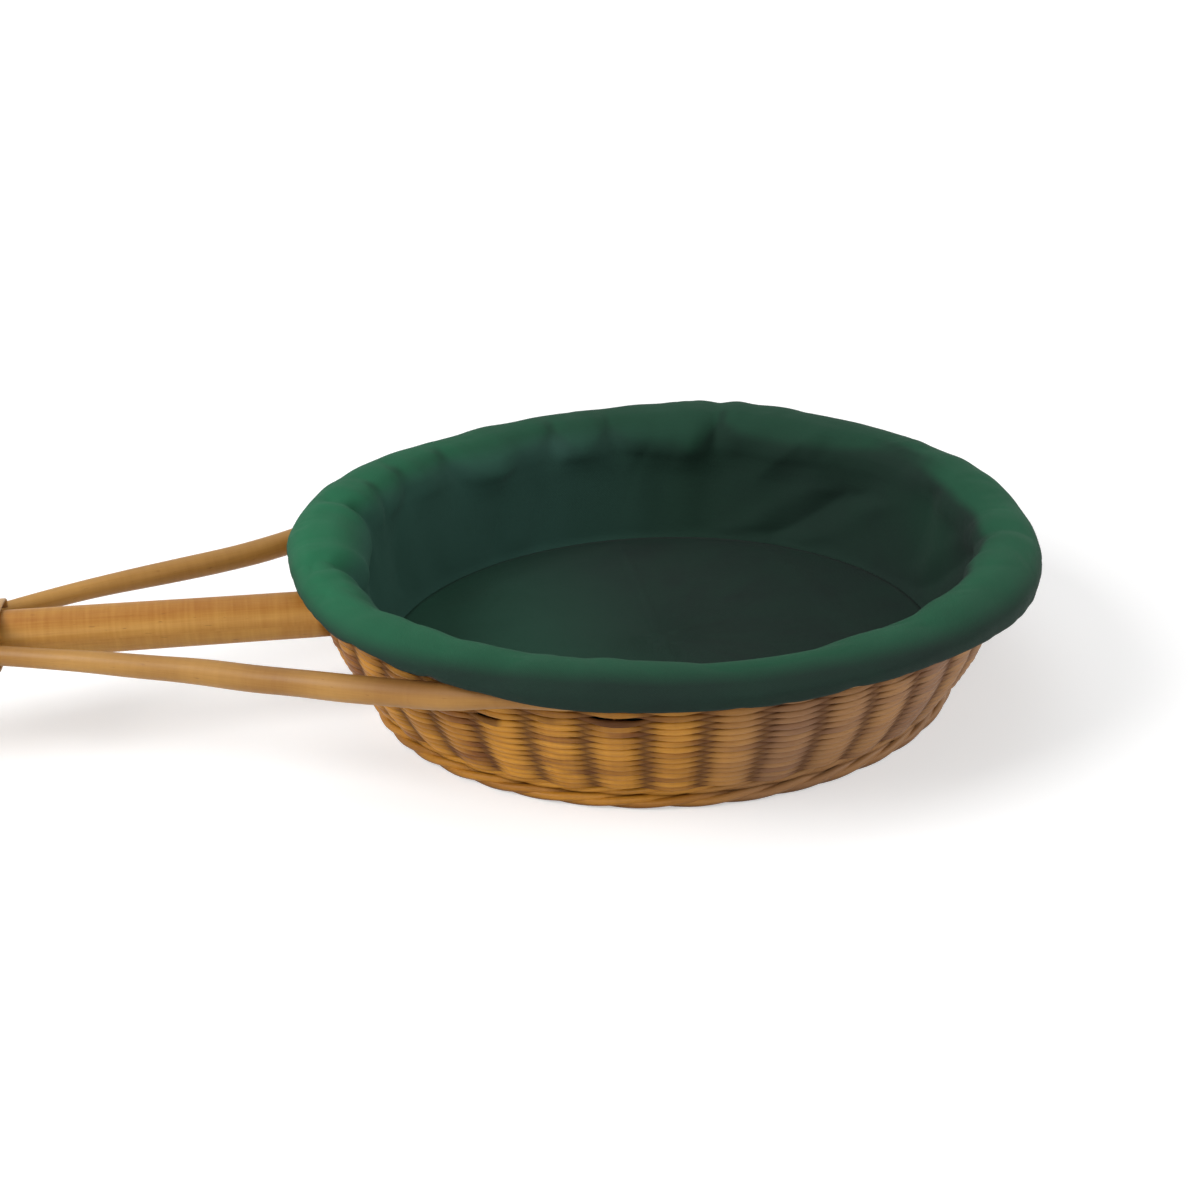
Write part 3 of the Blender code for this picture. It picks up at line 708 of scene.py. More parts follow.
def rodPath():
    # the tail beside the pole, the strut from there to the rim, and half of the hoop round it
    beside = np.array([0.0, pole["radius"] + rods["gap"] + rods["tailRadius"], 0.0])
    tail = onPole(np.array(rods["tailEnd"])) + beside
    fork = onPole(np.array(rods["forkStart"])) + beside
    rim = rodOnRim(np.array(rods["meetsRim"]))
    ahead = rodOnRim(np.array(rods["meetsRim"] - 0.02)) - rim
    ahead /= np.linalg.norm(ahead)
    away = np.array([1.0, rods["forkSpread"], rods["forkClimb"]])
    first = fork + rods["forkPull"] * away / np.linalg.norm(away)
    second = rim - rods["rimPull"] * ahead
    path, radii = [], []
    tailSteps, strutSteps, hoopSteps = rods["steps"]
    for share in np.linspace(0, 1, tailSteps, endpoint=False):
        path.append(tail + (fork - tail) * share)
        radii.append(rods["tailRadius"] * min(1.0, rods["tailTip"] + 9 * share))
    for t in np.linspace(0, 1, strutSteps, endpoint=False):
        weights = ((1 - t) ** 3, 3 * (1 - t) ** 2 * t, 3 * (1 - t) * t ** 2, t ** 3)
        path.append(sum(w * p for w, p in zip(weights, (fork, first, second, rim))))
        grown = smooth(0, rods["fullShare"], t)
        radii.append(rods["tailRadius"] + (rods["radius"] - rods["tailRadius"]) * grown)
    end = math.asin(rods["gap"] / (oval["halfWidth"] + rods["gap"] + rods["hoopRadius"]))
    for angle in np.linspace(rods["meetsRim"], end, hoopSteps):
        path.append(rodOnRim(np.array(angle)))
        radii.append(float(rodRadius(angle)))
    return np.array(path), np.array(radii)


def buildRods():
    path, radii = rodPath()
    for name, node, side, seed in (("farRod", "far_rod", 1, 3), ("nearRod", "near_rod", -1, 4)):
        rng = np.random.default_rng(seed)
        shape = newShape()
        length = np.linspace(0, fullTurn, len(path))
        waver = ringNoise(rng, length, (5, 9, 14), rods["waver"])
        swell = ringNoise(rng, length, (7, 12, 20), rods["waver"] * 0.35)
        patches = ringNoise(rng, length, (3, 6, 11), rods["toneChange"])
        shades = np.clip(rods["tone"] + patches, 0, 1)
        own = path * np.array([1, side, 1])
        if name == "farRod":
            # painted light: it is painted palest where it closes onto the pole
            shades = np.clip(shades + rods["paler"] * smooth(*rods["palerAlong"], own[:, 0]), 0, 1)
        own[:, 2] += waver * 0.6

        def tone(u, v):
            return atStep(u, shades)

        # painted shadow of the cuff, darkest on the rods' upper side
        def hollow(u, v):
            near = smooth(*rods["shadedAlong"], atStep(u, own)[:, 0])
            return near * (0.25 + 0.45 * smooth(0.05, 0.80, np.sin(fullTurn * v)))

        sweepRound(shape, own, radii + swell, rods["sides"], tone=tone, hollow=hollow)
        finishPiece(name, shape, rodRattan, "basket", [node], (0.60, 0.034))


# cane wound round the pole and the rods' tails

binding = {
    "start": 0.2815, "first": math.radians(60.0), "last": math.radians(45.0 + 9 * 360.0),
    "width": 0.0042, "thickness": 0.0012, "pitch": 0.0051, "slackSide": 0.0008,
    "slackTop": 0.00045, "tuck": 0.0024, "bend": 0.0014, "stepsPerTurn": 72, "sides": 14,
    "bluntAcross": 0.45, "bluntThrough": 0.8,
}


def buildBinding():
    rodLine, rodRadii = rodPath()
    halfHeight = pole["radius"] + binding["slackTop"] + binding["thickness"] / 2
    steps = round(binding["stepsPerTurn"] * (binding["last"] - binding["first"]) / fullTurn)
    turns = np.arange(steps + 1) / binding["stepsPerTurn"]
    turn = binding["first"] + fullTurn * turns
    middle = onPole(binding["start"] + binding["width"] / 2 + binding["pitch"] * turns)
    bundle = np.interp(middle[:, 0] + binding["width"] / 2, rodLine[:, 0],
                       rodLine[:, 1] + rodRadii)
    halfWidth = bundle + binding["slackSide"] + binding["thickness"] / 2
    swing = [0 * turn, halfWidth * np.cos(turn), halfHeight * np.sin(turn)]
    loops = middle + np.stack(swing, axis=-1)

    def tuck(end, travel):
        # an end bends in towards the pole and goes under
        flat = np.array([0.0, travel[1], travel[2]])
        flat /= np.linalg.norm(flat)
        inward = np.array([0.0, -flat[2], flat[1]])
        if inward @ (onPole(np.array(-end[0])) - end) < 0:
            inward = -inward
        bend = []
        for a in np.linspace(0, math.pi / 2, 7)[1:]:
            bend.append(end + binding["bend"] * (math.sin(a) * flat + (1 - math.cos(a)) * inward))
        bend.append(bend[-1] + binding["tuck"] * inward)
        return bend

    head = tuck(loops[0], loops[0] - loops[1])
    tail = tuck(loops[-1], loops[-1] - loops[-2])
    path = np.array(head[::-1] + list(loops) + tail)
    path = np.concatenate([path[:1], path, path[-1:]])
    out = np.cross(directions(path * np.array([0.0, 1.0, 1.0])), np.array([1.0, 0.0, 0.0]))
    last = len(path) - 1
    size = np.ones(len(path))
    size[0] = size[-1] = 0.0
    shape = newShape()

    def place(u, v):
        i = np.rint(u * last).astype(int)
        a = fullTurn * v
        # a flat strip with rounded edges
        across = blunted(np.cos(a), binding["bluntAcross"]) * binding["width"] / 2
        thick = blunted(np.sin(a), binding["bluntThrough"]) * binding["thickness"] / 2
        spot = path[i] + (size[i] * thick)[:, None] * out[i]
        spot[:, 0] += size[i] * across
        return spot

    def hollow(u, v):
        edge = np.abs(np.cos(fullTurn * v))
        return smooth(0.85, 1.0, edge) * 0.6

    def tone(u, v):
        return 0.55 + 0.3 * np.sin(u * 37.0) * np.cos(u * 11.0)

    addPatch(shape, last, binding["sides"], place, tone=tone, hollow=hollow)
    finishPiece("caneBinding", shape, splitCane, "basket", ["fork_binding"], (0.95, 0.011))


# what the lifted liner uncovers: inner hoop, uprights inside the wall, and sticks on the base

inside = {
    "hoopLevel": 0.0628, "hoopRadius": 0.004, "stakes": 20, "stakeRadius": 0.0015,
    "stakeGap": 0.0008, "stakeBottom": 0.0044, "stakeTop": 0.0584,
    # sticks on the base: node, how many, spacing and level
    "stickRadius": 0.002, "stickShort": 0.007, "sticks": (
        ("base_stick_long", 3, 0.034, 0.0064), ("base_stick_short", 5, 0.040, 0.0108)),
}


def hoopOffset():
    narrowest = wallOffset(inside["hoopLevel"] - inside["hoopRadius"])
    return float(narrowest) - oval["wallThickness"] - oval["gap"] - inside["hoopRadius"]


def buildInside():
    rng = np.random.default_rng(31)
    shape = newShape()

    def ring(u, v):
        turn = fullTurn * v
        angle = fullTurn * u
        offset = hoopOffset() + inside["hoopRadius"] * np.cos(turn)
        return ovalPlace(offset, inside["hoopLevel"] + inside["hoopRadius"] * np.sin(turn), angle)

    addPatch(shape, 200, 14, ring, tone=0.6, hollow=0.0)
    finishPiece("innerHoop", shape, rodRattan, "basket", ["inner_hoop"],
                (0.85, 0.025))
    shape = newShape()
    nodes = []
    centre = -oval["wallThickness"] - inside["stakeGap"] - inside["stakeRadius"]
    for k in range(inside["stakes"]):
        nodes.append(f"wall_stake_{k + 1:02d}")
        angle = math.radians(wall["firstUpright"]) + fullTurn * (k + 0.5) / inside["stakes"]
        out = np.array([math.cos(angle) / oval["halfLength"],
                        math.sin(angle) / oval["halfWidth"], 0])
        out /= np.linalg.norm(out)
        side = np.array([-out[1], out[0], 0])

        def stand(u, v):
            share = np.clip((u - 0.02) / 0.96, 0, 1)
            height = inside["stakeBottom"] + (inside["stakeTop"] - inside["stakeBottom"]) * share
            radius = (inside["stakeRadius"] * closedEnds(u))[:, None]
            turn = fullTurn * v[:, None]
            spot = ovalPlace(wallOffset(height) + centre, height, angle)
            return spot + (radius * np.cos(turn) * out + radius * np.sin(turn) * side)

        addPatch(shape, 24, 10, stand, tone=rng.uniform(0.3, 0.8), hollow=0.05)
    finishPiece("wallStakes", shape, rodRattan, "basket", nodes, (0.055, 0.01))
    shape = newShape()
    nodes = []
    reach = base["offset"] - inside["stickShort"]
    for name, count, spacing, level in inside["sticks"]:
        crosswise = name.endswith("short")
        along, across = oval["halfLength"] + reach, oval["halfWidth"] + reach
        if crosswise:
            along, across = across, along
        for k in range(count):
            nodes.append(f"{name}_{k + 1}")
            shift = (k - (count - 1) / 2) * spacing
            half = along * math.sqrt(1 - (shift / across) ** 2)
            line = np.linspace(-half, half, 24)
            flat = (0 * line + shift, line) if crosswise else (line, 0 * line - shift)
            path = np.stack([*flat, 0 * line + level], axis=-1)
            sweepRound(shape, path, np.full(24, inside["stickRadius"]), 12,
                       tone=rng.uniform(0.4, 0.8), hollow=0.05)
    finishPiece("baseSticks", shape, rodRattan, "basket", nodes, (0.24, 0.0125))


# liner: one gathered sheet from the hem over the rim and down to the floor, and the floor panel

liner = {
    "thickness": 0.0009, "clearance": 1.1, "columns": 600, "rows": 80, "girth": 1.01,
    "outer": 12.3, "soften": 40, "wrinkles": 120, "endWrinkles": 26, "hemDips": 110,
    # the rim border under the crown: its middle out and up, and its half sizes, in mm
    "overBorder": (-3.0, 70.3, 5.6, 4.0),
    # where the cloth is painted paler for light and where its crown is painted darker for shade:
    # angle, half width and strength
    "paled": ((180, 46, 0.90), (0, 50, 0.30), (122, 14, 0.18)),
    "shadedCrown": ((62, 42, 0.34), (36, 20, 0.20), (-105, 34, 0.28)),
    # strengths of the other painted light and shade
    "frontHighlight": 0.27, "hemShade": 0.92, "farPaler": 0.42, "drawnShade": 0.55, "bluish": 0.5,
    # offset and height in mm from the hem over the crown and down to the floor, at a gather
    "tight": (
        (11.4, 64.8), (12.1, 66.6), (12.3, 69.6), (10.6, 71.6), (7.6, 73.2), (4.2, 74.4),
        (0.5, 75.2), (-3.5, 75.1), (-7.6, 74.0), (-11.0, 71.2), (-13.8, 67.6), (-15.1, 63.0),
        (-15.9, 57.0), (-17.4, 47.0), (-20.2, 34.0), (-23.8, 23.0), (-26.6, 17.2), (-29.8, 15.0),
    ),
    # what a full crown adds, and what a puff between two gathers adds
    "crown": (
        (0, 0), (0, 0), (0, 0), (0.9, 0.9), (1.6, 2.0), (1.4, 2.9), (0.6, 3.1), (-1.0, 3.0),
        (-1.6, 2.8), (-2.2, 2.4), (-2.0, 1.4), (-1.2, 0.4), (-0.4, 0), (0, 0), (0, 0), (0, 0),
        (0, 0), (0, 0),
    ),
    "puff": (
        (0, 0), (0, 0), (0, 0), (0, 0), (0, 0), (0, 0), (0, 0.2), (-0.8, 0.5), (-2.8, 1.0),
        (-5.4, 0.9), (-7.8, -0.4), (-8.8, -2.4), (-6.4, -3.2), (-3.8, -1.2), (-2.6, 0), (-1.7, 0),
        (-0.6, 0), (0, 0),
    ),
    # how far the cuff stands out, in mm, and its lower edge's height, both by angle
    "reach": (
        (-180, 9.0), (-173, 8.6), (-165, 9.6), (-157, 10.7), (-150, 11.6), (-140, 12.1),
        (-120, 12.3), (-100, 12.3), (-90, 12.5), (-75, 12.3), (-60, 12.8), (-50, 13.9),
        (-42, 14.7), (-34, 14.6), (-28, 13.4), (-20, 11.4), (-12, 10.1), (-4, 10.2), (5, 11.0),
        (15, 12.0), (30, 12.8), (50, 13.0), (70, 13.4), (90, 12.5), (110, 11.5), (120, 11.4),
        (135, 12.4), (150, 13.3), (157, 12.6), (163, 11.8), (172, 11.0), (177, 9.8),
    ),
    # profile place where the cuff turns dark towards its hem, by angle
    "shadedTo": (
        (-180, 2.2), (-150, 2.8), (-125, 4.6), (-80, 4.9), (-60, 4.2), (-40, 3.8), (-10, 2.6),
        (30, 2.0), (150, 2.0),
    ),
    "hem": (
        (-180, 66.9), (-170, 66.8), (-164, 68.0), (-154, 67.2), (-149, 68.2), (-143, 68.6),
        (-139, 67.0), (-134, 67.2), (-130, 66.8), (-124, 66.2), (-121, 65.4), (-118, 64.8),
        (-112, 64.4), (-106, 64.4), (-100, 64.8), (-92, 64.9), (-87, 64.3), (-79, 65.1),
        (-75, 65.5), (-70, 65.0), (-58, 64.8), (-53, 64.3), (-45, 63.6), (-35, 63.6),
        (-20, 64.3), (0, 64.6), (15, 65.2), (40, 64.6), (70, 65.3), (95, 64.7), (120, 65.2),
        (150, 66.0), (165, 66.4),
    ),
    "height": (
        (-180, 0.45), (-172, 0.2), (-163, 0.0), (-152, 0.1), (-144, 0.65), (-132, 0.45),
        (-123, -0.05), (-117, 0.35), (-111, 0.65), (-105, 0.65), (-99, 0.2), (-94, -0.1),
        (-87, -0.12), (-74, 0.0), (-64, 0.05), (-58, 0.3), (-49, 0.6), (-36, 0.8), (-20, 0.6),
        (-6, 0.4), (5, 0.45), (12, 0.51), (18, 0.42), (23, 0.45), (28, 0.59), (33, 0.47),
        (37, 0.42), (41, 0.55), (46, 0.66), (50, 0.84), (54, 0.98), (58, 1.05), (61, 1.06),
        (65, 1.35), (69, 1.36), (72, 1.15), (76, 0.98), (79, 0.74), (83, 0.55), (86, 0.4),
        (90, 0.32), (94, 0.29), (98, 0.19), (102, 0.15), (106, 0.06), (110, 0.0), (118, 0.0),
        (122, 0.1), (126, 0.2), (130, 0.3), (135, 0.4), (140, 0.43), (146, 0.5), (150, 0.63),
        (160, 0.55),
    ),
    # how full the cloth hangs inside the rim, by angle: it is drawn in where this falls to nothing
    "fullness": (
        (-180, 0.95), (-177, 0.60), (-174, 0.0), (-171, 0.28), (-164, 0.38), (-158, 0.15),
        (-152, 0.0), (-146, 0.15), (-140, 0.22), (-134, 0.0), (-129, 0.40), (-123, 0.55),
        (-116, 0.35), (-108, 0.05), (-99, 0.0), (-90, 0.0), (-80, 0.05), (-75, 0.50),
        (-67, 0.50), (-58, 0.20), (-50, 0.25), (-44, 0.10), (-38, 0.0), (-31, 0.32), (-26, 0.12),
        (-21, 0.0), (-17, 0.20), (-7, 0.18), (0, 0.32), (11, 0.22), (21, 0.02), (25, 0.0),
        (33, 0.16), (38, 0.38), (44, 0.52), (51, 0.58), (58, 0.52), (62, 0.45), (65, 0.22),
        (67, 0.0), (70, 0.80), (72, 1.05), (76, 0.82), (81, 0.76), (86, 0.66), (88, 0.45),
        (90.5, 0.0), (93, 0.60), (96, 0.92), (99, 0.70), (101.5, 0.0), (106, 0.42), (110, 0.58),
        (114, 1.05), (116, 1.20), (120, 1.02), (123, 0.80), (125, 0.45), (127, 0.0), (131, 0.32),
        (136, 0.48), (138.5, 0.15), (140, 0.0), (143, 0.38), (146, 0.36), (148, 0.0),
        (152, 0.42), (156, 0.20), (158.5, 0.10), (161, 0.62), (167, 0.88), (175, 1.00),
    ),
    # how many degrees the gathers drift on their way down the wall, by angle
    "drift": (
        (-180, 5), (-150, -5), (-120, 4), (-85, -4), (-50, 5), (-20, -6), (10, 6), (30, 12),
        (67, 3), (90, -3), (101, 4), (127, -3), (147, 5), (160, -4),
    ),
    # creases: angle and profile place at each end, depth in mm, width in degrees
    "creases": (
        (154, 3.6, 158, 6.0, 0.6, 2.2), (158, 6.0, 158.5, 9.0, 1.8, 2.0),
        (158.5, 9.0, 163, 13.0, 1.8, 2.4), (-173, 6.0, -175, 10.0, 1.3, 2.2),
        (147, 6.5, 147, 9.0, 0.6, 1.6), (139, 6.5, 139, 9.0, 0.5, 1.5),
        (127, 6.5, 127, 9.5, 0.6, 1.6), (90.5, 6.0, 90, 9.5, 0.7, 1.4),
        (101.5, 6.0, 102, 9.5, 0.8, 1.5), (-21, 4.5, -18, 10.0, 1.0, 2.2),
        (-166, 2.5, -158, 9.0, 0.5, 2.6), (-126, 2.0, -122, 8.0, 0.7, 2.6),
        (-90, 3.0, -94, 8.5, 0.8, 2.8), (68, 3.5, 68, 10.0, 1.1, 2.0),
        (44, 8.6, 58, 13.0, -1.3, 4.0), (31, 12.6, 37, 13.4, 1.6, 4.0),
        (46, 3.0, 44, 8.0, 0.35, 3.0), (-58, 2.5, -62, 8.0, 0.45, 2.6),
        (37, 13.0, 53, 15.4, 2.8, 4.6), (-16, 11.5, 8, 15.5, 1.6, 4.0),
        (12, 10.5, 14, 15.5, 1.8, 4.2), (112, 11.0, 120, 15.0, 1.4, 4.0),
        (84, 11.5, 74, 15.5, 1.2, 4.5), (140, 10.5, 150, 14.5, 1.2, 3.5),
        (160, 10.5, 166, 15.0, 1.4, 4.0), (-72, 10.0, -64, 14.5, 1.0, 4.0),
        (-112, 10.0, -104, 15.0, 1.2, 4.0), (-35, 11.0, -28, 15.0, 1.1, 4.0),
    ),
}


def smoothLine(points, count):
    # places of even steps along a rounded line through the given points
    index = np.linspace(0, len(points) - 1, 24 * (len(points) - 1) + 1)
    line = splineAt(np.array(points, float), index)
    length = np.concatenate([[0], np.cumsum(np.linalg.norm(np.diff(line, axis=0), axis=1))])
    return np.interp(np.linspace(0, length[-1], count), length, index), length[-1]


def splineAt(points, index):
    # rounded line through the points, read at fractional places
    ends = np.concatenate([2 * points[:1] - points[1:2], points, 2 * points[-1:] - points[-2:-1]])
    i = np.clip(index.astype(int), 0, len(points) - 2)
    t = (index - i)[:, None]
    a, b, c, d = ends[i], ends[i + 1], ends[i + 2], ends[i + 3]
    return 0.5 * (2 * b + (c - a) * t + (2 * a - 5 * b + 4 * c - d) * t ** 2
                  + (3 * b - a - 3 * c + d) * t ** 3)


def byAngle(table, degrees, reach=8):
    # rounded reading of an (angle, value) table that closes on itself, reach in quarter degrees
    spots, values = np.array(table, float).T
    near = np.linspace(-180, 180, 1441)
    raw = np.interp(near, spots, values, period=360)
    kernel = hump(np.linspace(-2, 2, 2 * reach + 1))
    ring = np.concatenate([raw[-reach - 1:-1], raw, raw[1:reach + 1]])
    even = np.convolve(ring, kernel / kernel.sum(), mode="valid")
    return np.interp(degrees, near, even, period=360)


def puffing(degrees, down, where):
    # crisp between the gathers at the rim, only broad and soft waves on the wall below
    turned = degrees - byAngle(liner["drift"], degrees) * down
    soft = smooth(9.6, 13.0, where)
    broad = byAngle(liner["fullness"], turned, liner["soften"])
    return byAngle(liner["fullness"], turned) * (1 - soft) + broad * soft


def clearRim(spot):
    # cloth lies on the rim border, on the inner hoop and on the stakes below it
    room, hoop = liner["clearance"], inside["hoopRadius"] * 1000
    overHoop = (hoopOffset() * 1000, inside["hoopLevel"] * 1000, hoop, hoop)
    for across, up, wide, high in (liner["overBorder"], overHoop):
        aside, above = spot[:, 0] - across, spot[:, 1] - up
        nearness = np.sqrt((aside / (wide + room)) ** 2 + (above / (high + room)) ** 2)
        push = 1 / np.clip(nearness, 0.2, 1.0)
        spot[:, 0], spot[:, 1] = across + aside * push, up + above * push
    thick = oval["wallThickness"] + inside["stakeGap"] + 2 * inside["stakeRadius"]
    face = (wallOffset(spot[:, 1] / 1000) - thick) * 1000 - room
    low = (spot[:, 1] < inside["stakeTop"] * 1000) & (spot[:, 0] < 0)
    spot[:, 0] = np.where(low, np.minimum(spot[:, 0], face), spot[:, 0])
    return spot


def thicken(cloth, thickness):
    # the cloth's own shape is its outer face
    solid = cloth.modifiers.new("clothThickness", "SOLIDIFY")
    solid.thickness, solid.offset = thickness, -1.0


def buildLiner():
    rng = np.random.default_rng(7)
    tight, crown, puff = (np.array(liner[k], float) for k in ("tight", "crown", "puff"))
    common = tight + 0.5 * crown + 0.6 * puff
    index, length = smoothLine(common, liner["rows"] + 1)
    tightRows, crownRows, puffRows = (splineAt(table, index) for table in (tight, crown, puff))
    # how far each row follows the cuff's reach and the hem's height
    carried = np.interp(index, (0, 3, 4, 5, 6, 7), (1, 1, 0.75, 0.4, 0.12, 0))
    hemShare = np.interp(index, (0, 1, 2), (1, 0.62, 0))
    down = smooth(7.0, 16.5, index)
    along = np.gradient(splineAt(common, index), axis=0)
    along /= np.linalg.norm(along, axis=1)[:, None]
    outward = np.stack([along[:, 1], -along[:, 0]], axis=-1)
    minor = [(rng.uniform(-180, 180), rng.uniform(2.5, 9.0), rng.uniform(-9, 9),
              rng.uniform(3.0, 6.0), rng.uniform(0.10, 0.42), rng.uniform(0.8, 1.9))
             for _ in range(liner["wrinkles"])]
    # finer wrinkles across the cuff at the handle's end
    minor += [(180 + rng.uniform(-24, 24), rng.uniform(2.0, 4.5), rng.uniform(-4, 4),
               rng.uniform(3.5, 6.5), rng.uniform(0.12, 0.34), rng.uniform(0.6, 1.3))
              for _ in range(liner["endWrinkles"])]
    hems = [(rng.uniform(-180, 180), rng.uniform(0.10, 0.40), rng.uniform(0.7, 1.5))
            for _ in range(liner["hemDips"])]
    waves = [(n, rng.uniform(0, fullTurn), rng.uniform(-0.35, 0.35), rng.uniform(0.10, 0.30))
             for n in (5, 8, 11, 14, 19, 26, 37)]

    def spots(u, v):
        # row, place along the profile, and angle
        row = np.rint(v * liner["rows"]).astype(int)
        return row, index[row], 360 * u - 180

    def place(u, v):
        row, where, degrees = spots(u, v)
        spot = tightRows[row] + byAngle(liner["height"], degrees)[:, None] * crownRows[row]
        spot = spot + puffing(degrees, down[row], where)[:, None] * puffRows[row]
        spot[:, 0] += carried[row] * (byAngle(liner["reach"], degrees) - liner["outer"])
        spot[:, 1] += hemShare[row] * (byAngle(liner["hem"], degrees) - liner["tight"][0][1])
        rise = np.zeros_like(degrees)
        for first, start, second, end, deep, wide in liner["creases"]:
            share = np.clip((where - start) / (end - start), 0, 1)
            away = turnTo(degrees - (first + turnTo(second - first) * share))
            ends = smooth(start - 1.5, start + 0.5, where)
            ends = ends * (1 - smooth(end - 0.5, end + 1.5, where))
            # a narrow valley with a low ridge on either side
            rise -= deep * ends * np.exp(-np.abs(away / wide) ** 1.35)
            rise += 0.38 * deep * ends * hump(np.abs(away) - 1.9 * wide, wide)
        for centre, start, lean, reach, deep, wide in minor:
            share = np.clip((where - start) / reach, 0, 1)
            away = turnTo(degrees - centre - lean * share)
            rise -= deep * np.sin(math.pi * share) * hump(away, wide)
        atHem = 1 - smooth(0.4, 3.0, where)
        for centre, deep, wide in hems:
            rise -= deep * atHem * hump(turnTo(degrees - centre), wide)
        turn = np.radians(degrees)
        shown = smooth(1.0, 4.0, where) * (1 - smooth(15.0, 17.0, where))
        for order, start, slope, size in waves:
            rise += shown * size * 0.5 * np.sin(order * turn + start + slope * where)
        rise += 0.35 * (1 - smooth(0.25, 0.9, where))  # the hem's fold
        spot = clearRim(spot + rise[:, None] * outward[row]) / 1000
        return ovalPlace(spot[:, 0], spot[:, 1], turn)

    def wear(u, v):
        # painted light: the cuff is painted paler where light falls on it, most towards the
        # handle, a little at the far end, and in a highlight band along the crown in front
        _, where, degrees = spots(u, v)
        paled = np.clip(0.10 + humps(liner["paled"], degrees), 0, 1)
        inFront = liner["frontHighlight"] * smooth(-0.2, -0.8, np.sin(np.radians(degrees)))
        return np.clip(paled * hump(where - 6.0, 4.2) + inFront * hump(where - 7.4, 1.3), 0, 1)

    def hollow(u, v):
        # painted shade: the cloth is darkest below the puffs' lower edges and between them, and at
        # the hem
        _, where, degrees = spots(u, v)
        full = np.clip(byAngle(liner["fullness"], degrees), 0, 1.2)
        inner = smooth(-0.5, 0.7, where - 8.7 - 2.1 * full)
        far = 0.5 + 0.5 * np.cos(np.radians(degrees + 10))
        shaded = byAngle(liner["shadedTo"], degrees)
        hem = liner["hemShade"] * smooth(shaded + 1.5, shaded - 1.7, where)
        # paler where the wall of the far end turns up to the light
        paler = liner["farPaler"] * hump(degrees - 8, 13) * hump(where - 12.6, 1.7)
        # painted shade: the crown is darker along the far side and in front, and where it is drawn
        # in
        crownShade = humps(liner["shadedCrown"], degrees) * (1 - inner)
        drawn = liner["drawnShade"] * smooth(0.22, 0.0, full) * smooth(6.6, 8.2, where)
        drawn = drawn * (1 - inner) * smooth(-0.3, 0.4, np.sin(np.radians(degrees)))
        return np.clip((0.04 + 0.96 * far ** 0.6) * inner * (1 - paler) + hem + crownShade + drawn, 0, 1)

    def bluish(u, v):
        # painted light: a paler bluish cast in the shade, on the inner wall, from the middle of
        # the far side round to the handle's end
        _, where, degrees = spots(u, v)
        handleEnd = smooth(0.35, -0.4, np.cos(np.radians(degrees)))
        return liner["bluish"] * smooth(8.4, 10.6, where) * handleEnd

    shape = newShape()
    addPatch(shape, liner["columns"], liner["rows"], place, wear=wear, hollow=hollow, tone=bluish)
    cloth = finishPiece("linerCloth", shape, greenCloth, "liner",
                        ["liner_skirt", "liner_elastic"], (liner["girth"], length / 1000),
                        turnOut=False)
    thicken(cloth, liner["thickness"])
    print("cloth from hem to floor", round(length, 1), "mm")
    return cloth


floor = {
    "offset": -0.0286, "level": 0.01475, "thickness": 0.0008, "columns": 360, "rows": 60,
    "waves": 12, "bluish": 0.12,
    # creases: both ends, height and half width
    "creases": (((-0.002, -0.115), (0.001, 0.112), 0.00045, 0.0022),
                ((0.078, 0.060), (0.098, -0.045), 0.0007, 0.006),
                ((-0.085, 0.055), (-0.020, 0.090), 0.0004, 0.007)),
}


def buildFloor():
    rng = np.random.default_rng(19)
    waves = [(rng.uniform(18, 60), rng.uniform(0, fullTurn), rng.uniform(0, fullTurn),
              rng.uniform(0.00008, 0.00022)) for _ in range(floor["waves"])]

    def place(u, v):
        angle = fullTurn * u
        flat = ovalPlace(floor["offset"], floor["level"], angle)
        flat[:, :2] *= v[:, None]
        x, y = flat[:, 0], flat[:, 1]
        rise = np.zeros_like(x)
        for order, turn, start, size in waves:
            rise += size * np.sin(order * (x * math.cos(turn) + y * math.sin(turn)) * 2 + start)
        for start, end, height, width in floor["creases"]:
            a, b = np.array(start), np.array(end)
            way = (b - a) / np.linalg.norm(b - a)
            away = (x - a[0]) * way[1] - (y - a[1]) * way[0]
            rise += height * hump(away, width)
        edge = smooth(1.0, 0.93, v)
        flat[:, 2] += rise * edge + 0.0002 * smooth(0.96, 1.0, v)
        return flat

    def hollow(u, v):
        # greener towards the handle and in front, as the wall's shade falls to the far end
        across, front = v * np.cos(fullTurn * u), -v * np.sin(fullTurn * u)
        return smooth(-0.80, 0.25, across - 0.25 * front)

    # painted light: a paler bluish cast in the shade, towards the handle
    def bluish(u, v):
        return floor["bluish"] * smooth(0.2, -0.7, v * np.cos(fullTurn * u))

    shape = newShape()
    addPatch(shape, floor["columns"], floor["rows"], place, wear=0.0, hollow=hollow, tone=bluish)
    panel = finishPiece("linerFloor", shape, greenCloth, "liner", ["liner_floor"],
                        (0.78, 0.12), turnOut=False)
    thicken(panel, floor["thickness"])
    return panel


buildWall()
for number, row in enumerate(twists):
    buildTwist(row, 41 + number)
buildBase()
print("woven pieces made")
buildPole()
buildRods()
buildBinding()
buildInside()
print("handle made")
cloth = buildLiner()
panel = buildFloor()
for name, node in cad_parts.items():
    if "nail" in name:
        node.data.materials.clear()
        node.data.materials.append(nailSteel)
print("liner made")


# stage: floor, world, lamps and camera

stage = {
    "floorSize": 12.0, "floorColour": colour(0.80, 0.80, 0.80), "floorGlow": 0.42,
    "floorWhitens": (0.35, 1.10), "ambient": 0.27, "aim": (0, 0, 0.04),
    # name, place, size and power
    "lamps": (
        ("keyLamp", (-1.75, -0.35, 1.45), 1.1, 33.0), ("topLamp", (-0.3, 0.5, 2.2), 1.6, 8.0),
        ("frontLamp", (-0.9, -2.2, 0.75), 0.9, 15.0), ("rightLamp", (2.2, -0.6, 0.9), 1.2, 19.0),
    ),
}


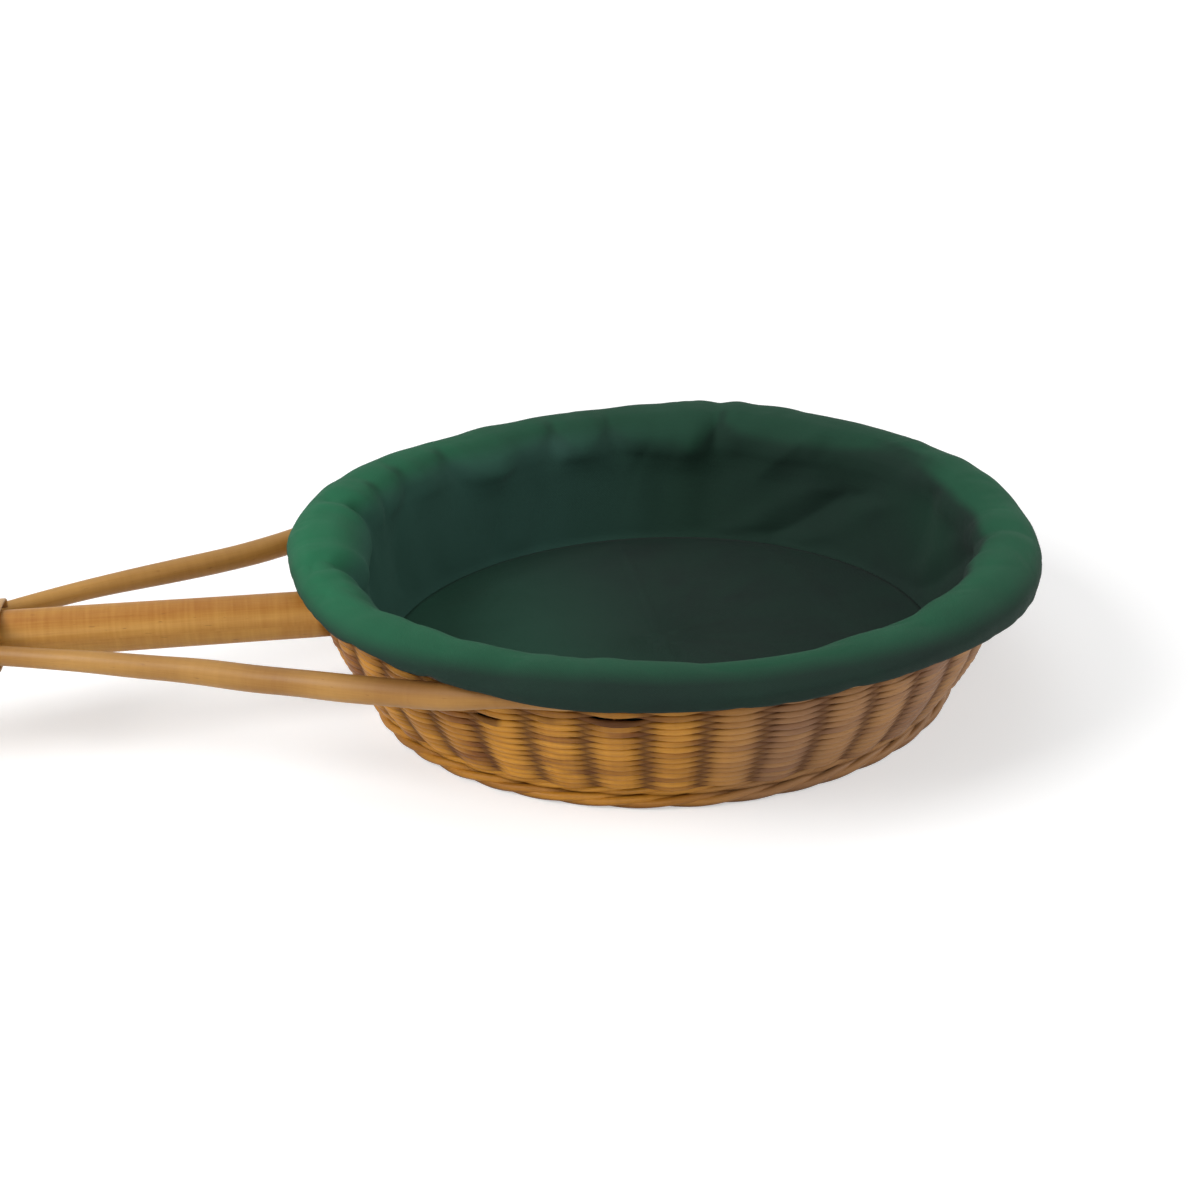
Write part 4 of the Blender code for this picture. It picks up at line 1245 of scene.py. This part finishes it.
def seenRays(board):
    path = board.add("ShaderNodeLightPath", output="Is Camera Ray")
    glossy = Link(board, path.socket.node.outputs["Is Glossy Ray"])
    through = Link(board, path.socket.node.outputs["Is Transmission Ray"])
    return (path + glossy + through).clamp()


def buildStage():
    shape = bmesh.new()
    bmesh.ops.create_grid(shape, x_segments=1, y_segments=1, size=stage["floorSize"])
    mesh = bpy.data.meshes.new("studioFloor")
    shape.to_mesh(mesh)
    shape.free()
    ground = newObject("studioFloor", mesh)
    fixed = {"Base Color": stage["floorColour"], "Roughness": 0.9, "Specular IOR Level": 0.0,
             "Emission Strength": 1.0}
    material, board, shader = newMaterial("paleFloor", fixed)
    # the floor whitens away from the basket, for what looks at it and not for what it lights
    distance = board.add("ShaderNodeVectorMath", {"operation": "LENGTH"},
                         {0: board.mapObject((1.0, 1.0, 1.0))}, output="Value")
    glow = board.spread(distance, *stage["floorWhitens"], stage["floorGlow"], 1.0)
    seen = seenRays(board)
    plug(board, shader, Emission_Color=board.mix(seen * glow, colour(0, 0, 0), colour(1, 1, 1)))
    mesh.materials.append(material)
    world = bpy.data.worlds.new("studioWorld")
    bpy.context.scene.world = world
    world.use_nodes = True
    board = Board(world.node_tree)
    seen = seenRays(board)
    background = world.node_tree.nodes["Background"]
    background.inputs["Color"].default_value = colour(1, 1, 1)
    level = seen * (1.0 - stage["ambient"]) + stage["ambient"]
    world.node_tree.links.new(level.socket, background.inputs["Strength"])
    for name, spot, size, power in stage["lamps"]:
        lamp = bpy.data.lights.new(name, "AREA")
        lamp.shape, lamp.size, lamp.energy = "SQUARE", size, power
        holder = newObject(name, lamp)
        holder.location = spot
        aim = Vector(stage["aim"]) - Vector(spot)
        holder.rotation_mode = "QUATERNION"
        holder.rotation_quaternion = aim.to_track_quat("-Z", "Y")
    bpy.context.scene.view_settings.view_transform = "Standard"


view = {
    "azimuth": -13.1, "elevation": 29.0, "roll": 0.3, "distance": 0.765, "lens": 49.275,
    "shift": (-0.05333, 0.05583),
}


def buildCamera():
    azimuth, elevation, roll = (math.radians(view[k]) for k in ("azimuth", "elevation", "roll"))
    flat = math.cos(elevation)
    back = Vector((math.sin(azimuth) * flat, -math.cos(azimuth) * flat, math.sin(elevation)))
    right = Vector((math.cos(azimuth), math.sin(azimuth), 0))
    up = back.cross(right)
    turnedRight = math.cos(roll) * right + math.sin(roll) * up
    turnedUp = math.cos(roll) * up - math.sin(roll) * right
    camera = newObject("camera", bpy.data.cameras.new("camera"))
    place = Matrix((turnedRight, turnedUp, back)).transposed().to_4x4()
    place.translation = back * view["distance"]
    camera.matrix_world = place
    camera.data.sensor_width = 36.0
    camera.data.lens = view["lens"]
    camera.data.shift_x, camera.data.shift_y = view["shift"]
    camera.data.clip_start, camera.data.clip_end = 0.01, 50.0
    bpy.context.scene.camera = camera


buildStage()
buildCamera()
print("stage made")
